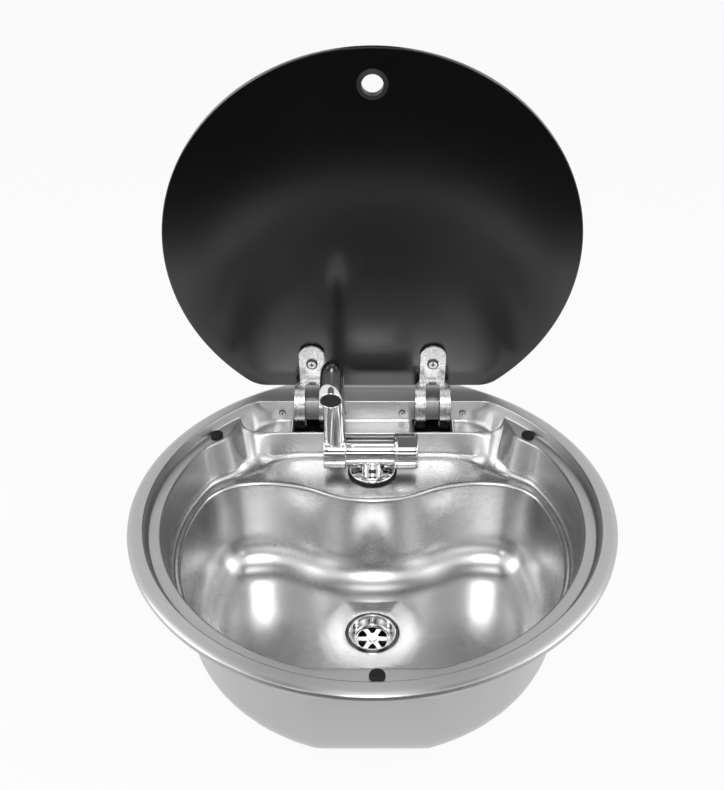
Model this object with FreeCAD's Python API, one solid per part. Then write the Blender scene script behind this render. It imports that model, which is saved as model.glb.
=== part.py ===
import math
import os

from FreeCAD import Vector
import Part

# A round inset sink of pressed steel sheet with a hinged glass lid and a folding tap.
# Origin at the centre of the rim on the worktop plane, +Z up, +Y towards the lid hinges.
# The lid stands open and the spout stands up, millimetres throughout.

# Rim and lid recess
RIM_R = 210.0
RIM_HEIGHT = 5.0
RIM_EDGE = 4.3
RIM_EDGE_LIFT = 0.2
RIM_WIDTH = 13.3
SHEET = 1.0
RECESS_DRAFT = 3.05
LAND_DROP = 8.9
LAND_WIDTH = 11.0
RECESS_CORNER = 22.0

# Rear wall, ledge and hinge slots
HINGE_WALL_INSET = 52.6
LEDGE_DROP = 24.0
LEDGE_DEPTH = 20.8
LEDGE_HALF = 119.0
LEDGE_TIP_HALF = 132.0
LEDGE_TIP_BACK = 18.0
LEDGE_CORNER = 14.0
SLOT_LENGTH = 42.2
SLOT_FRONT_LIP = 1.6

# Shelf that carries the tap
SHELF_DROP = 50.0
SHELF_DRAFT = 4.4
SHELF_WIDTH = 8.0
FRONT_FLAT_INSET = 6.3
WALL2_DRAFT = 3.6
PILLAR_HALF = 122.0
PILLAR_BACK = 49.0
PILLAR_LEAN = 17.0
PILLAR_SLOPE_FOOT = 0.62
PILLAR_SLOPE_TOP = 0.83
PILLAR_ROUND = 14.0
SHELF_CORNER_HALF = 90.0
SHELF_CORNER_ROUND = 40.0

# Bowl
BOWL_DEPTH = 145.0
BOWL_DRAFT = 5.0
BOWL_FILLET = 36.0
TAP_SHELF_DEPTH = 70.0
BULGE_R = 110.0
LOBE_R = 110.0
LOBE_HALF = 104.0
LOBE_CORNER = 45.0

# Waste
WASTE_BACK = 14.0
DISH_WIDTH = 7.2
DISH_DROP = 2.5
DISH_MARGIN = 2.0
STRAINER_R = 25.8
STRAINER_LIP = 1.3
CUP_TOP_R = 21.3
CUP_R = 17.4
CUP_DEPTH = 8.5
STRAINER_SHEET = 1.0
STRAINER_HOLES = 6
STRAINER_HUB_R = 5.2
STRAINER_SPOKE = 3.4
WASTE_SCREW_R = 2.5
WASTE_SCREW_HEAD_R = 4.4
WASTE_SCREW_HEAD = 1.6
WASTE_SCREW_REACH = 16.0
WASTE_FIT = 0.4
WASTE_SEAL_R = 29.0
WASTE_SEAL_T = 2.5
WASTE_WALL = 2.5
WASTE_CHAMBER = 22.0
WASTE_FUNNEL = 8.0
WASTE_WEB = 3.0
SPIGOT_R = 12.5
SPIGOT_LENGTH = 30.0

# Rubber bumpers under the lid
BUMPER_R = 6.1
BUMPER_STEM_R = 2.4
BUMPER_STEM = 3.5
BUMPER_GAP = 0.3
BUMPER_REAR_ANGLE = 36.3
BUMPER_FROM_WALL = 0.5
BUMPER_FROM_EDGE = 2.75
BUMPER_FRONT_X = 3.5
HOLE_FIT = 0.1

# Rim seal and the worktop cut-out that it covers
RIM_COVER = 6.0
SEAL_INSET = 2.2
SEAL_GAP = 0.1

# Glass lid
LID_OPEN_ANGLE = 84.5
LID_T = 5.0
LID_GAP = 1.5
LID_HINGE_GAP = 4.0
LID_CORNER = 30.0
LID_EDGE = 0.8
FINGER_R = 9.2
FINGER_INSET = 30.8
GROMMET_WALL = 1.6
GROMMET_LIP = 2.4
GROMMET_LIP_T = 1.2
GROMMET_FIT = 0.1

# Hinges
HINGE_X = 60.5
PIVOT_BACK = 14.7
PIVOT_DROP = 16.3
PIN_R = 2.5
PIN_FIT = 0.05
BOSS_R = 5.2
ARM_T = 2.4
ARM_WIDTH = 35.0
ARM_NOTCH = 14.3
ARM_TOP_REACH = 28.3
ARM_MID_REACH = 24.8
ARM_END_REACH = 22.3
ARM_TOP_ANGLE = 92.0
ARM_MID_ANGLE = 150.0
ARM_END_ANGLE = 214.5
TAB_WIDTH = 25.4
TAB_LENGTH = 41.4
TAB_SCREW_RISE = 19.7
ARCH_DROP = 11.0
PAD_T = 1.5
PAD_MARGIN = 0.6
PAD_FLARE = 9.0
LID_SCREW_R = 2.5
LID_SCREW_HEAD_R = 5.7
LID_SCREW_HEAD = 2.0
SLEEVE_WALL = 1.6
LID_CAP_R = 11.0
LID_CAP_T = 4.5
LID_CAP_SKIN = 1.5

# Hinge housings behind the slots
HOUSING_WALL = 2.0
HOUSING_SIDE_GAP = 1.0
HOUSING_SWEEP_GAP = 0.6
HOUSING_TOP_GAP = 0.4
HOUSING_WALL_LIFT = 2.0
HOUSING_SEAT = 0.1
FLANGE_T = 3.0
FLANGE_HEIGHT = 13.0
HINGE_SCREW_SPACING = 61.0
HINGE_SCREW_DROP = 14.0
HINGE_SCREW_R = 1.6
HINGE_SCREW_HEAD_R = 3.4
HINGE_SCREW_HEAD = 1.6
HINGE_SCREW_LENGTH = 9.0
FLANGE_BOSS_R = 4.0
SCREW_CROSS = 0.9
SCREW_CROSS_SHARE = 0.6

# Tap
TAP_FORWARD = 25.5
TAP_AXIS_DROP = 24.5
BARREL_R = 14.4
BARREL_LEFT = 25.6
BARREL_RIGHT = 21.0
BARREL_WALL = 2.6
NECK_R = 12.0
ROSE_R = 22.6
ROSE_TOP_R = 14.5
ROSE_H = 4.0
ROSE_LIP = 1.4
GASKET_R = 24.3
GASKET_T = 2.5
SHANK_R = 8.0
SHANK_BORE = 4.0
SHANK_LENGTH = 30.0
SHANK_THREAD = 7.0
THREAD_FIT = 0.05
WASHER_R = 17.0
WASHER_T = 2.0
NUT_R = 13.5
NUT_T = 8.0
TAIL_R = 5.0
TAIL_LENGTH = 22.0

# Folding spout
HUB_R = 17.0
HUB_LENGTH = 21.2
HUB_GAP = 0.3
HUB_EDGE = 1.6
HUB_WALL = 4.0
SPIGOT_AXLE_R = 8.0
AXLE_FIT = 0.05
AXLE_BORE = 4.0
AXLE_PORT = 3.0
RING_WIRE = 1.5
RING_REACH = 5.0
HUB_SCREW_R = 2.5
HUB_SCREW_GRIP = 5.5
HUB_SCREW_HEAD_R = 5.0
HUB_SCREW_HEAD = 1.2
HUB_CAP_R = 6.5
HUB_CAP_T = 0.5
TUBE_R = 10.2
TUBE_WALL = 1.2
TUBE_RISE = 77.5
TUBE_BEND = 26.0
TUBE_TURN = 106.0
TUBE_END = 24.0
TUBE_SEAT = 12.5
OUTLET_T = 4.0
OUTLET_RECESS = 0.8

# Valve and knob
KNOB_R = 17.8
KNOB_LENGTH = 23.0
KNOB_GAP = 0.4
KNOB_EDGE = 3.5
KNOB_FACE = 5.0
SPINDLE_R = 3.5
SPINDLE_FIT = 0.05
SPINDLE_IN = 12.0
CARTRIDGE_LENGTH = 18.0
KNOB_SCREW_R = 1.5
KNOB_SCREW_HEAD_R = 3.0
KNOB_SCREW_HEAD = 1.6
KNOB_SCREW_LENGTH = 10.0

# Heights and radii worked out from the sizes above
CUTOUT_R = RIM_R - RIM_COVER
RECESS_R = RIM_R - RIM_WIDTH
RECESS_FOOT_R = RECESS_R - RECESS_DRAFT
LAND_R = RECESS_FOOT_R - LAND_WIDTH
SHELF_R = LAND_R - SHELF_DRAFT
BOWL_R = SHELF_R - SHELF_WIDTH
LAND_Z = RIM_HEIGHT - LAND_DROP
LEDGE_Z = RIM_HEIGHT - LEDGE_DROP
SHELF_Z = RIM_HEIGHT - SHELF_DROP
FLOOR_Z = RIM_HEIGHT - BOWL_DEPTH
DISH_Z = FLOOR_Z - DISH_DROP
HINGE_WALL_Y = RIM_R - HINGE_WALL_INSET
LEDGE_Y = HINGE_WALL_Y - LEDGE_DEPTH
SHELF_REAR_Y = LEDGE_Y - WALL2_DRAFT
BULGE_Y = SHELF_REAR_Y - TAP_SHELF_DEPTH
LID_R = RECESS_FOOT_R + RECESS_DRAFT * (LAND_DROP - LID_T) / LAND_DROP - LID_GAP
LID_Z = RIM_HEIGHT - LID_T
LID_CHORD = HINGE_WALL_Y - LID_HINGE_GAP
PIVOT = Vector(0, HINGE_WALL_Y + PIVOT_BACK, RIM_HEIGHT - PIVOT_DROP)
TAP_Y = SHELF_REAR_Y - TAP_FORWARD
TAP_Z = RIM_HEIGHT - TAP_AXIS_DROP
WASTE_Y = -WASTE_BACK
ARM_FOLD_Y = PIVOT.y - ARM_TOP_REACH - ARM_T / 2
TAB_Z = LID_Z - PAD_T
LID_SCREW_Y = ARM_FOLD_Y - TAB_SCREW_RISE
FAR = 2 * RIM_R
SIDES = {"left": -1, "right": 1}

X_AXIS = Vector(1, 0, 0)
Y_AXIS = Vector(0, 1, 0)
Z_AXIS = Vector(0, 0, 1)


def save(name, shape):
    shape.exportStep("parts/" + name + ".step")
    sound = shape.isValid()
    print(name, len(shape.Solids), round(shape.Volume, 1), sound)


def cylinder(radius, length, start, axis=Z_AXIS):
    return Part.makeCylinder(radius, length, start, axis)


def tube(radius, bore, length, start, axis=Z_AXIS):
    return cylinder(radius, length, start, axis).cut(cylinder(bore, length, start, axis))


def domed(radius, length, start, axis, edge_r):
    # A cylinder with the edge of its far end rounded.
    body = cylinder(radius, length, start, axis)
    far = start + axis * length
    circles = [edge for edge in body.Edges if edge.isClosed()]
    return body.makeFillet(edge_r, [edge for edge in circles if edge.CenterOfMass.isEqual(far, edge_r)])


def block(low, high):
    size = high - low
    return Part.makeBox(size.x, size.y, size.z, low)


def turned(profile, centre, axis=Z_AXIS):
    # A solid of revolution about an axis through the centre, from (radius, height) points.
    side = X_AXIS if axis == Z_AXIS else Z_AXIS
    points = [centre + side * radius + axis * height for radius, height in profile]
    face = Part.Face(Part.makePolygon(points + points[:1]))
    return face.revolve(centre, axis, 360)


def rounded_outline(corners, z):
    # A closed outline of straight runs, with an arc of radius r at each corner (x, y, r).
    points = [Vector(x, y, z) for x, y, r in corners]
    arcs = []
    for i, (x, y, r) in enumerate(corners):
        here = points[i]
        before = points[i - 1] - here
        after = points[(i + 1) % len(points)] - here
        before.normalize()
        after.normalize()
        half = before.getAngle(after) / 2
        reach = r / math.tan(half)
        middle = before + after
        middle.normalize()
        crown = here + middle * (r / math.sin(half) - r)
        arcs.append((here + before * reach, crown, here + after * reach))
    edges = []
    for i, (first, crown, last) in enumerate(arcs):
        edges.append(Part.LineSegment(arcs[i - 1][2], first).toShape())
        if corners[i][2] > 0:
            edges.append(Part.Arc(first, crown, last).toShape())
    return Part.Wire(edges)


def grown(corners, amount):
    # The outline moved outwards by an amount, for corners that run anticlockwise.
    moved = []
    points = [Vector(x, y, 0) for x, y, r in corners]
    for i, (x, y, r) in enumerate(corners):
        before = points[i] - points[i - 1]
        after = points[(i + 1) % len(points)] - points[i]
        before.normalize()
        after.normalize()
        out_before = Vector(before.y, -before.x, 0)
        out_after = Vector(after.y, -after.x, 0)
        shift = (out_before + out_after) * (amount / (1 + out_before.dot(out_after)))
        bends_out = before.x * after.y - before.y * after.x > 0
        radius = r + (amount if bends_out else -amount) if r > 0 else 0
        moved.append((x + shift.x, y + shift.y, radius))
    return moved


def mirrored(corners):
    # The right half's corners followed by the left half's, anticlockwise.
    return corners + [(-x, y, r) for x, y, r in reversed(corners)]


def loft(lower, upper):
    return Part.makeLoft([lower, upper], True, True)


def recess_outline(radius, rear_y, corner, z):
    # A circle cut off by a straight rear edge, with rounded corners between the two.
    corner_y = rear_y - corner
    corner_x = math.sqrt((radius - corner) ** 2 - corner_y ** 2)
    grow = radius / (radius - corner)
    diagonal = Vector(corner_x, corner_y, 0)
    bearing = math.atan2(corner_y, corner_x)
    middle = (bearing + math.pi / 2) / 2
    crown = diagonal + Vector(math.cos(middle), math.sin(middle), 0) * corner
    lift = Vector(0, 0, z)
    points = [Vector(corner_x, rear_y, 0), crown, diagonal * grow]
    right = [p + lift for p in points]
    left = [Vector(-p.x, p.y, z) for p in points]
    front = Vector(0, -radius, z)
    edges = [Part.LineSegment(left[0], right[0]).toShape()]
    edges.append(Part.Arc(right[0], right[1], right[2]).toShape())
    edges.append(Part.Arc(right[2], front, left[2]).toShape())
    edges.append(Part.Arc(left[2], left[1], left[0]).toShape())
    return Part.Wire(edges)


def meeting(centre_a, radius_a, centre_b, radius_b):
    # The crossing of two circles that lies on the left of the way from the first to the second.
    way = centre_b - centre_a
    gap = way.Length
    along = (gap ** 2 + radius_a ** 2 - radius_b ** 2) / (2 * gap)
    across = math.sqrt(radius_a ** 2 - along ** 2)
    way.normalize()
    return centre_a + way * along + Vector(-way.y, way.x, 0) * across


def bowl_outline(inset, z):
    # The heart shape of the bowl: a circle with a flat front, two rear lobes and a bulge between.
    origin = Vector(0, 0, 0)
    bulge_y = BULGE_Y + BULGE_R
    spread = BULGE_R + LOBE_R
    bulge = Vector(0, bulge_y, 0)
    lobe = Vector(LOBE_HALF, bulge_y - math.sqrt(spread ** 2 - LOBE_HALF ** 2), 0)
    corner = meeting(origin, BOWL_R - LOBE_CORNER, lobe, LOBE_R - LOBE_CORNER)
    radius = BOWL_R - inset
    flat_y = BOWL_R - FRONT_FLAT_INSET - inset

    def beyond(base, away, reach):
        way = away - base
        way.normalize()
        return base + way * reach

    inflection = beyond(bulge, lobe, BULGE_R + inset)
    lobe_end = beyond(lobe, corner, LOBE_R - inset)
    corner_end = beyond(origin, corner, radius)
    lobe_mid = beyond(lobe, (inflection + lobe_end) * 0.5, LOBE_R - inset)
    corner_mid = beyond(corner, (lobe_end + corner_end) * 0.5, LOBE_CORNER - inset)
    flat_x = math.sqrt(radius ** 2 - flat_y ** 2)
    flat_end = Vector(flat_x, -flat_y, 0)
    side_mid = beyond(origin, (corner_end + flat_end) * 0.5, radius)
    bulge_mid = Vector(0, BULGE_Y - inset, 0)
    lift = Vector(0, 0, z)

    def flip(point):
        return Vector(-point.x, point.y, point.z)

    def arc(a, b, c):
        return Part.Arc(a + lift, b + lift, c + lift).toShape()

    right = [arc(inflection, lobe_mid, lobe_end), arc(lobe_end, corner_mid, corner_end)]
    right.append(arc(corner_end, side_mid, flat_end))
    left = [arc(flip(flat_end), flip(side_mid), flip(corner_end))]
    left.append(arc(flip(corner_end), flip(corner_mid), flip(lobe_end)))
    left.append(arc(flip(lobe_end), flip(lobe_mid), flip(inflection)))
    front = Part.LineSegment(flat_end + lift, flip(flat_end) + lift).toShape()
    rear = arc(flip(inflection), bulge_mid, inflection)
    return Part.Wire([rear] + right + [front] + left)


def lid_recess(skin, top_z):
    # The round recess that the closed lid drops into, with its sloping wall.
    def outline(z):
        slope = RECESS_DRAFT * (z - LAND_Z) / LAND_DROP
        return recess_outline(RECESS_FOOT_R + slope + skin, HINGE_WALL_Y + skin, RECESS_CORNER + skin, z)
    return loft(outline(LAND_Z - skin), outline(top_z))


def ledge_pocket(skin):
    # The pocket between the two leaf-shaped ends of the land, down to the ledge with the slots.
    rear_y = HINGE_WALL_Y
    front_y = LEDGE_Y - LEDGE_DEPTH
    wall_half = math.sqrt(RECESS_FOOT_R ** 2 - HINGE_WALL_Y ** 2)
    lean = LEDGE_TIP_HALF - LEDGE_HALF

    def outline(tip_half, rear_half, z):
        right = [(tip_half - lean, front_y, 0), (tip_half, rear_y - LEDGE_TIP_BACK, LEDGE_CORNER)]
        right.append((rear_half, rear_y, LEDGE_CORNER))
        return rounded_outline(grown(mirrored(right), skin), z)

    lower = outline(LEDGE_HALF, wall_half - lean / 2, LEDGE_Z - skin)
    return loft(lower, outline(LEDGE_TIP_HALF, wall_half, LAND_Z + SHEET / 2))


def shelf_cavity(skin):
    # The space above the shelf, between the land's inner edge and the ledge.
    low_z = SHELF_Z - skin
    high_z = LAND_Z + SHEET / 2
    height = LAND_Z - SHELF_Z
    cone = Part.makeCone(SHELF_R + skin, LAND_R + skin, high_z - low_z, Vector(0, 0, low_z))
    flat_foot = SHELF_R - FRONT_FLAT_INSET + skin
    flat_top = LAND_R - FRONT_FLAT_INSET + skin
    slab = [Vector(-FAR, -flat_foot, low_z), Vector(-FAR, -flat_top, high_z)]
    slab += [Vector(-FAR, -FAR, high_z), Vector(-FAR, -FAR, low_z)]
    front = Part.Face(Part.makePolygon(slab + slab[:1])).extrude(X_AXIS * (2 * FAR))

    pillar_y = HINGE_WALL_Y - PILLAR_BACK

    def rear(half, slope, corner_half, rear_y, z):
        side = (FAR, pillar_y - slope * (FAR - half), 0)
        corners = [side, (FAR, FAR, 0), (-FAR, FAR, 0), (-side[0], side[1], 0)]
        corners += [(-half, pillar_y, PILLAR_ROUND), (-corner_half, rear_y, SHELF_CORNER_ROUND)]
        corners += [(corner_half, rear_y, SHELF_CORNER_ROUND), (half, pillar_y, PILLAR_ROUND)]
        return rounded_outline(grown(corners, -skin), z)

    rear_top = SHELF_REAR_Y + WALL2_DRAFT * height / (LEDGE_Z - SHELF_Z)
    lower = rear(PILLAR_HALF, PILLAR_SLOPE_FOOT, SHELF_CORNER_HALF, SHELF_REAR_Y, low_z)
    upper = rear(PILLAR_HALF + PILLAR_LEAN, PILLAR_SLOPE_TOP, LEDGE_TIP_HALF, rear_top, high_z)
    return cone.cut(front).cut(loft(lower, upper))


def bowl_cavity(skin):
    # The bowl itself, drafted, with a wide fillet round its floor and a dish for the waste.
    lower = bowl_outline(BOWL_DRAFT - skin, FLOOR_Z - skin)
    upper = bowl_outline(-skin, SHELF_Z + SHEET / 2)
    bowl = loft(lower, upper)
    floor = min(bowl.Faces, key=lambda face: face.CenterOfMass.z)
    bowl = bowl.makeFillet(BOWL_FILLET + skin, floor.Edges)
    dish_foot = STRAINER_R + DISH_MARGIN + skin
    foot = Vector(0, WASTE_Y, DISH_Z - skin)
    dish = Part.makeCone(dish_foot, dish_foot + DISH_WIDTH, DISH_DROP, foot)
    return bowl.fuse(dish)


def cavity(skin, top_z):
    # All the hollows pressed into the sheet, grown by the sheet's thickness for its underside.
    parts = [ledge_pocket(skin), shelf_cavity(skin), bowl_cavity(skin)]
    return lid_recess(skin, top_z).fuse(parts)


def bumper_places():
    ring = RECESS_FOOT_R - BUMPER_R - BUMPER_FROM_WALL
    rear_x = ring * math.cos(math.radians(BUMPER_REAR_ANGLE))
    rear_y = ring * math.sin(math.radians(BUMPER_REAR_ANGLE))
    front_y = -(LAND_R - FRONT_FLAT_INSET + BUMPER_R + BUMPER_FROM_EDGE)
    return {
        "bumper_front": Vector(BUMPER_FRONT_X, front_y, LAND_Z),
        "bumper_rear_left": Vector(-rear_x, rear_y, LAND_Z),
        "bumper_rear_right": Vector(rear_x, rear_y, LAND_Z),
    }


def hinge_screw_places():
    z = RIM_HEIGHT - HINGE_SCREW_DROP
    half = HINGE_SCREW_SPACING / 2
    centres = [side * HINGE_X + end * half for side in SIDES.values() for end in (-1, 1)]
    return [Vector(x, HINGE_WALL_Y, z) for x in centres]


def rim_edge(reach, top_z, drop, steps=8):
    # Points of the rim's rounded edge, from its flat top down over the outside.
    points = [(0, top_z)]
    for i in range(steps + 1):
        turn = math.pi / 2 * i / steps
        points.append((RIM_R - RIM_EDGE + reach * math.sin(turn), top_z - drop * (1 - math.cos(turn))))
    return points


def through_sheet(radius, place, outward):
    # A cutter for a round hole in the sheet at a place on its inner face.
    return cylinder(radius, 3 * SHEET, place - outward * SHEET, outward)


def sink_basin():
    # One pressing: the rim with its rolled edge, and the sheet round all the hollows.
    drop = RIM_HEIGHT - RIM_EDGE_LIFT
    outer = rim_edge(RIM_EDGE, RIM_HEIGHT, drop)
    inner = rim_edge(RIM_EDGE - SHEET, RIM_HEIGHT - SHEET, drop - SHEET)
    rim = turned(outer + inner[::-1], Vector(0, 0, 0))
    shell = rim.fuse(cavity(SHEET, RIM_HEIGHT - SHEET / 2)).cut(cavity(0, RIM_HEIGHT + SHEET))
    cuts = []
    for side in SIDES.values():
        mid_x = side * HINGE_X
        low = Vector(mid_x - SLOT_LENGTH / 2, LEDGE_Y + SLOT_FRONT_LIP, LEDGE_Z - 2 * SHEET)
        high = Vector(mid_x + SLOT_LENGTH / 2, HINGE_WALL_Y, LEDGE_Z + SHEET)
        cuts.append(block(low, high))
    for place in hinge_screw_places():
        cuts.append(through_sheet(HINGE_SCREW_R + HOLE_FIT, place, Y_AXIS))
    for place in bumper_places().values():
        cuts.append(through_sheet(BUMPER_STEM_R + HOLE_FIT, place, -Z_AXIS))
    cuts.append(through_sheet(SHANK_R + WASTE_FIT, Vector(0, TAP_Y, SHELF_Z), -Z_AXIS))
    cuts.append(through_sheet(CUP_TOP_R + WASTE_FIT, Vector(0, WASTE_Y, DISH_Z), -Z_AXIS))
    return shell.cut(cuts)


def rim_seal():
    # A strip under the rim that lies on the worktop just outside the cut-out.
    top = RIM_HEIGHT - SHEET - SEAL_GAP
    edge_r = RIM_R - RIM_EDGE
    outer_r = RIM_R - SEAL_INSET
    share = (outer_r - edge_r) / (RIM_EDGE - SHEET)
    drop = RIM_HEIGHT - RIM_EDGE_LIFT - SHEET
    outer_top = RIM_HEIGHT - SHEET - drop * (1 - math.sqrt(1 - share ** 2))
    profile = [(CUTOUT_R, 0), (outer_r, 0), (outer_r, outer_top / 2), (edge_r, top), (CUTOUT_R, top)]
    return turned(profile, Vector(0, 0, 0))


def bumper(place):
    # A push-in buffer: a low rounded head on the land and a stem through it.
    height = LID_Z - BUMPER_GAP - LAND_Z
    head = domed(BUMPER_R, height, place, Z_AXIS, height / 3)
    stem = cylinder(BUMPER_STEM_R, BUMPER_STEM, place - Z_AXIS * BUMPER_STEM)
    return head.fuse(stem).removeSplitter()


def strainer():
    # One pressing: a lip in the dish, a tapered cup and a spoked grid at its foot.
    seat = Vector(0, WASTE_Y, DISH_Z)
    t = STRAINER_SHEET
    profile = [(CUP_TOP_R - t, STRAINER_LIP), (STRAINER_R - STRAINER_LIP, STRAINER_LIP), (STRAINER_R, 0)]
    profile += [(CUP_TOP_R, 0), (CUP_R, -CUP_DEPTH), (0, -CUP_DEPTH), (0, t - CUP_DEPTH)]
    profile += [(CUP_R - t, t - CUP_DEPTH)]
    shell = turned(profile, seat)
    ring = tube(CUP_R - STRAINER_SPOKE / 2, STRAINER_HUB_R, 3 * t, seat - Z_AXIS * (CUP_DEPTH + t))
    spokes = []
    for i in range(STRAINER_HOLES):
        low = seat + Vector(0, -STRAINER_SPOKE / 2, -CUP_DEPTH - t)
        high = seat + Vector(CUP_R, STRAINER_SPOKE / 2, 2 * t - CUP_DEPTH)
        spokes.append(block(low, high).rotate(seat, Z_AXIS, 360 / STRAINER_HOLES * i))
    holes = ring.cut(spokes)
    screw_hole = cylinder(WASTE_SCREW_R + HOLE_FIT, 3 * t, seat - Z_AXIS * (CUP_DEPTH + t))
    return shell.cut([holes, screw_hole])


def cross_recess(top, axis, across, head_r, depth):
    # A cross cut into a screw head, from two crossed bars.
    deeper = axis * -depth
    other = axis.cross(across)
    half_length = head_r * SCREW_CROSS_SHARE
    bars = []
    for long, short in ((across, other), (other, across)):
        corner = top - long * half_length - short * (SCREW_CROSS / 2) + deeper
        far = top + long * half_length + short * (SCREW_CROSS / 2) + axis * depth
        low = Vector(min(corner.x, far.x), min(corner.y, far.y), min(corner.z, far.z))
        high = Vector(max(corner.x, far.x), max(corner.y, far.y), max(corner.z, far.z))
        bars.append(block(low, high))
    return bars


def waste_screw():
    head_foot = Vector(0, WASTE_Y, DISH_Z - CUP_DEPTH + STRAINER_SHEET)
    head = domed(WASTE_SCREW_HEAD_R, WASTE_SCREW_HEAD, head_foot, Z_AXIS, WASTE_SCREW_HEAD / 2)
    shank = cylinder(WASTE_SCREW_R, WASTE_SCREW_REACH, head_foot - Z_AXIS * WASTE_SCREW_REACH)
    top = head_foot + Z_AXIS * WASTE_SCREW_HEAD
    recess = cross_recess(top, Z_AXIS, X_AXIS, WASTE_SCREW_HEAD_R, WASTE_SCREW_HEAD / 2)
    return head.fuse(shank).removeSplitter().cut(recess)


def waste_seal():
    foot = Vector(0, WASTE_Y, DISH_Z - SHEET - WASTE_SEAL_T)
    return tube(WASTE_SEAL_R, CUP_TOP_R + WASTE_FIT, WASTE_SEAL_T, foot)


def waste_body():
    # A moulded chamber under the floor with a hose spigot, pulled up by the centre screw.
    top = Vector(0, WASTE_Y, DISH_Z - SHEET - WASTE_SEAL_T)
    inner = CUP_TOP_R + WASTE_FIT
    outer = inner + WASTE_WALL
    bore = SPIGOT_R - WASTE_WALL
    funnel = -WASTE_CHAMBER - WASTE_FUNNEL
    profile = [(inner, 0), (WASTE_SEAL_R, 0), (WASTE_SEAL_R, -WASTE_WALL), (outer, -WASTE_WALL)]
    profile += [(outer, -WASTE_CHAMBER), (SPIGOT_R, funnel), (SPIGOT_R, funnel - SPIGOT_LENGTH)]
    profile += [(bore, funnel - SPIGOT_LENGTH), (bore, funnel), (inner, -WASTE_CHAMBER)]
    shell = turned(profile, top)
    grid_foot = DISH_Z - CUP_DEPTH
    boss_top = grid_foot - WASTE_FIT
    boss_foot = grid_foot + STRAINER_SHEET - WASTE_SCREW_REACH - WASTE_WALL
    boss_r = 2 * WASTE_SCREW_R
    webs = []
    for long, short in ((X_AXIS, Y_AXIS), (Y_AXIS, X_AXIS)):
        reach = long * (inner + WASTE_WALL / 2) + short * (WASTE_WEB / 2)
        low = Vector(0, WASTE_Y, boss_foot) - reach
        high = Vector(0, WASTE_Y, boss_top - WASTE_WEB) + reach
        webs.append(block(low, high))
    boss = cylinder(boss_r, boss_top - boss_foot, Vector(0, WASTE_Y, boss_foot))
    tip = grid_foot + STRAINER_SHEET - WASTE_SCREW_REACH
    hole = cylinder(WASTE_SCREW_R + THREAD_FIT, boss_top - tip, Vector(0, WASTE_Y, tip))
    return shell.fuse(webs + [boss]).cut(hole)


def opened(shape):
    # From the closed lid's place to the open one, about the hinge pins.
    return shape.rotate(PIVOT, X_AXIS, -LID_OPEN_ANGLE)


def sleeve_r():
    return LID_SCREW_R + HOLE_FIT + SLEEVE_WALL


def lid_glass():
    foot = Part.Face(recess_outline(LID_R, LID_CHORD, LID_CORNER, LID_Z))
    glass = foot.extrude(Z_AXIS * LID_T)
    middle_z = LID_Z + LID_T / 2
    rims = [edge for edge in glass.Edges if abs(edge.CenterOfMass.z - middle_z) > LID_EDGE]
    glass = glass.makeChamfer(LID_EDGE, rims)
    finger = Vector(0, FINGER_INSET - LID_R, LID_Z)
    cuts = [cylinder(FINGER_R + GROMMET_WALL + GROMMET_FIT, LID_T, finger)]
    for side in SIDES.values():
        cuts.append(cylinder(sleeve_r() + HOLE_FIT, LID_T, Vector(side * HINGE_X, LID_SCREW_Y, LID_Z)))
    return opened(glass.cut(cuts))


def lid_grommet():
    # A ring moulded round the finger hole, with a lip on each face of the glass.
    centre = Vector(0, FINGER_INSET - LID_R, LID_Z)
    wall = FINGER_R + GROMMET_WALL
    lip = wall + GROMMET_LIP
    low = -GROMMET_LIP_T - GROMMET_FIT
    high = LID_T + GROMMET_FIT + GROMMET_LIP_T
    profile = [(FINGER_R, low), (lip, -GROMMET_FIT), (wall, -GROMMET_FIT), (wall, LID_T + GROMMET_FIT)]
    profile += [(lip, LID_T + GROMMET_FIT), (FINGER_R, high)]
    return opened(turned(profile, centre))


def arm_point(angle, reach):
    # A point of the arm with the lid closed: its angle runs from +Z towards the front.
    turn = math.radians(angle)
    return PIVOT + Vector(0, -reach * math.sin(turn), reach * math.cos(turn))


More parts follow.
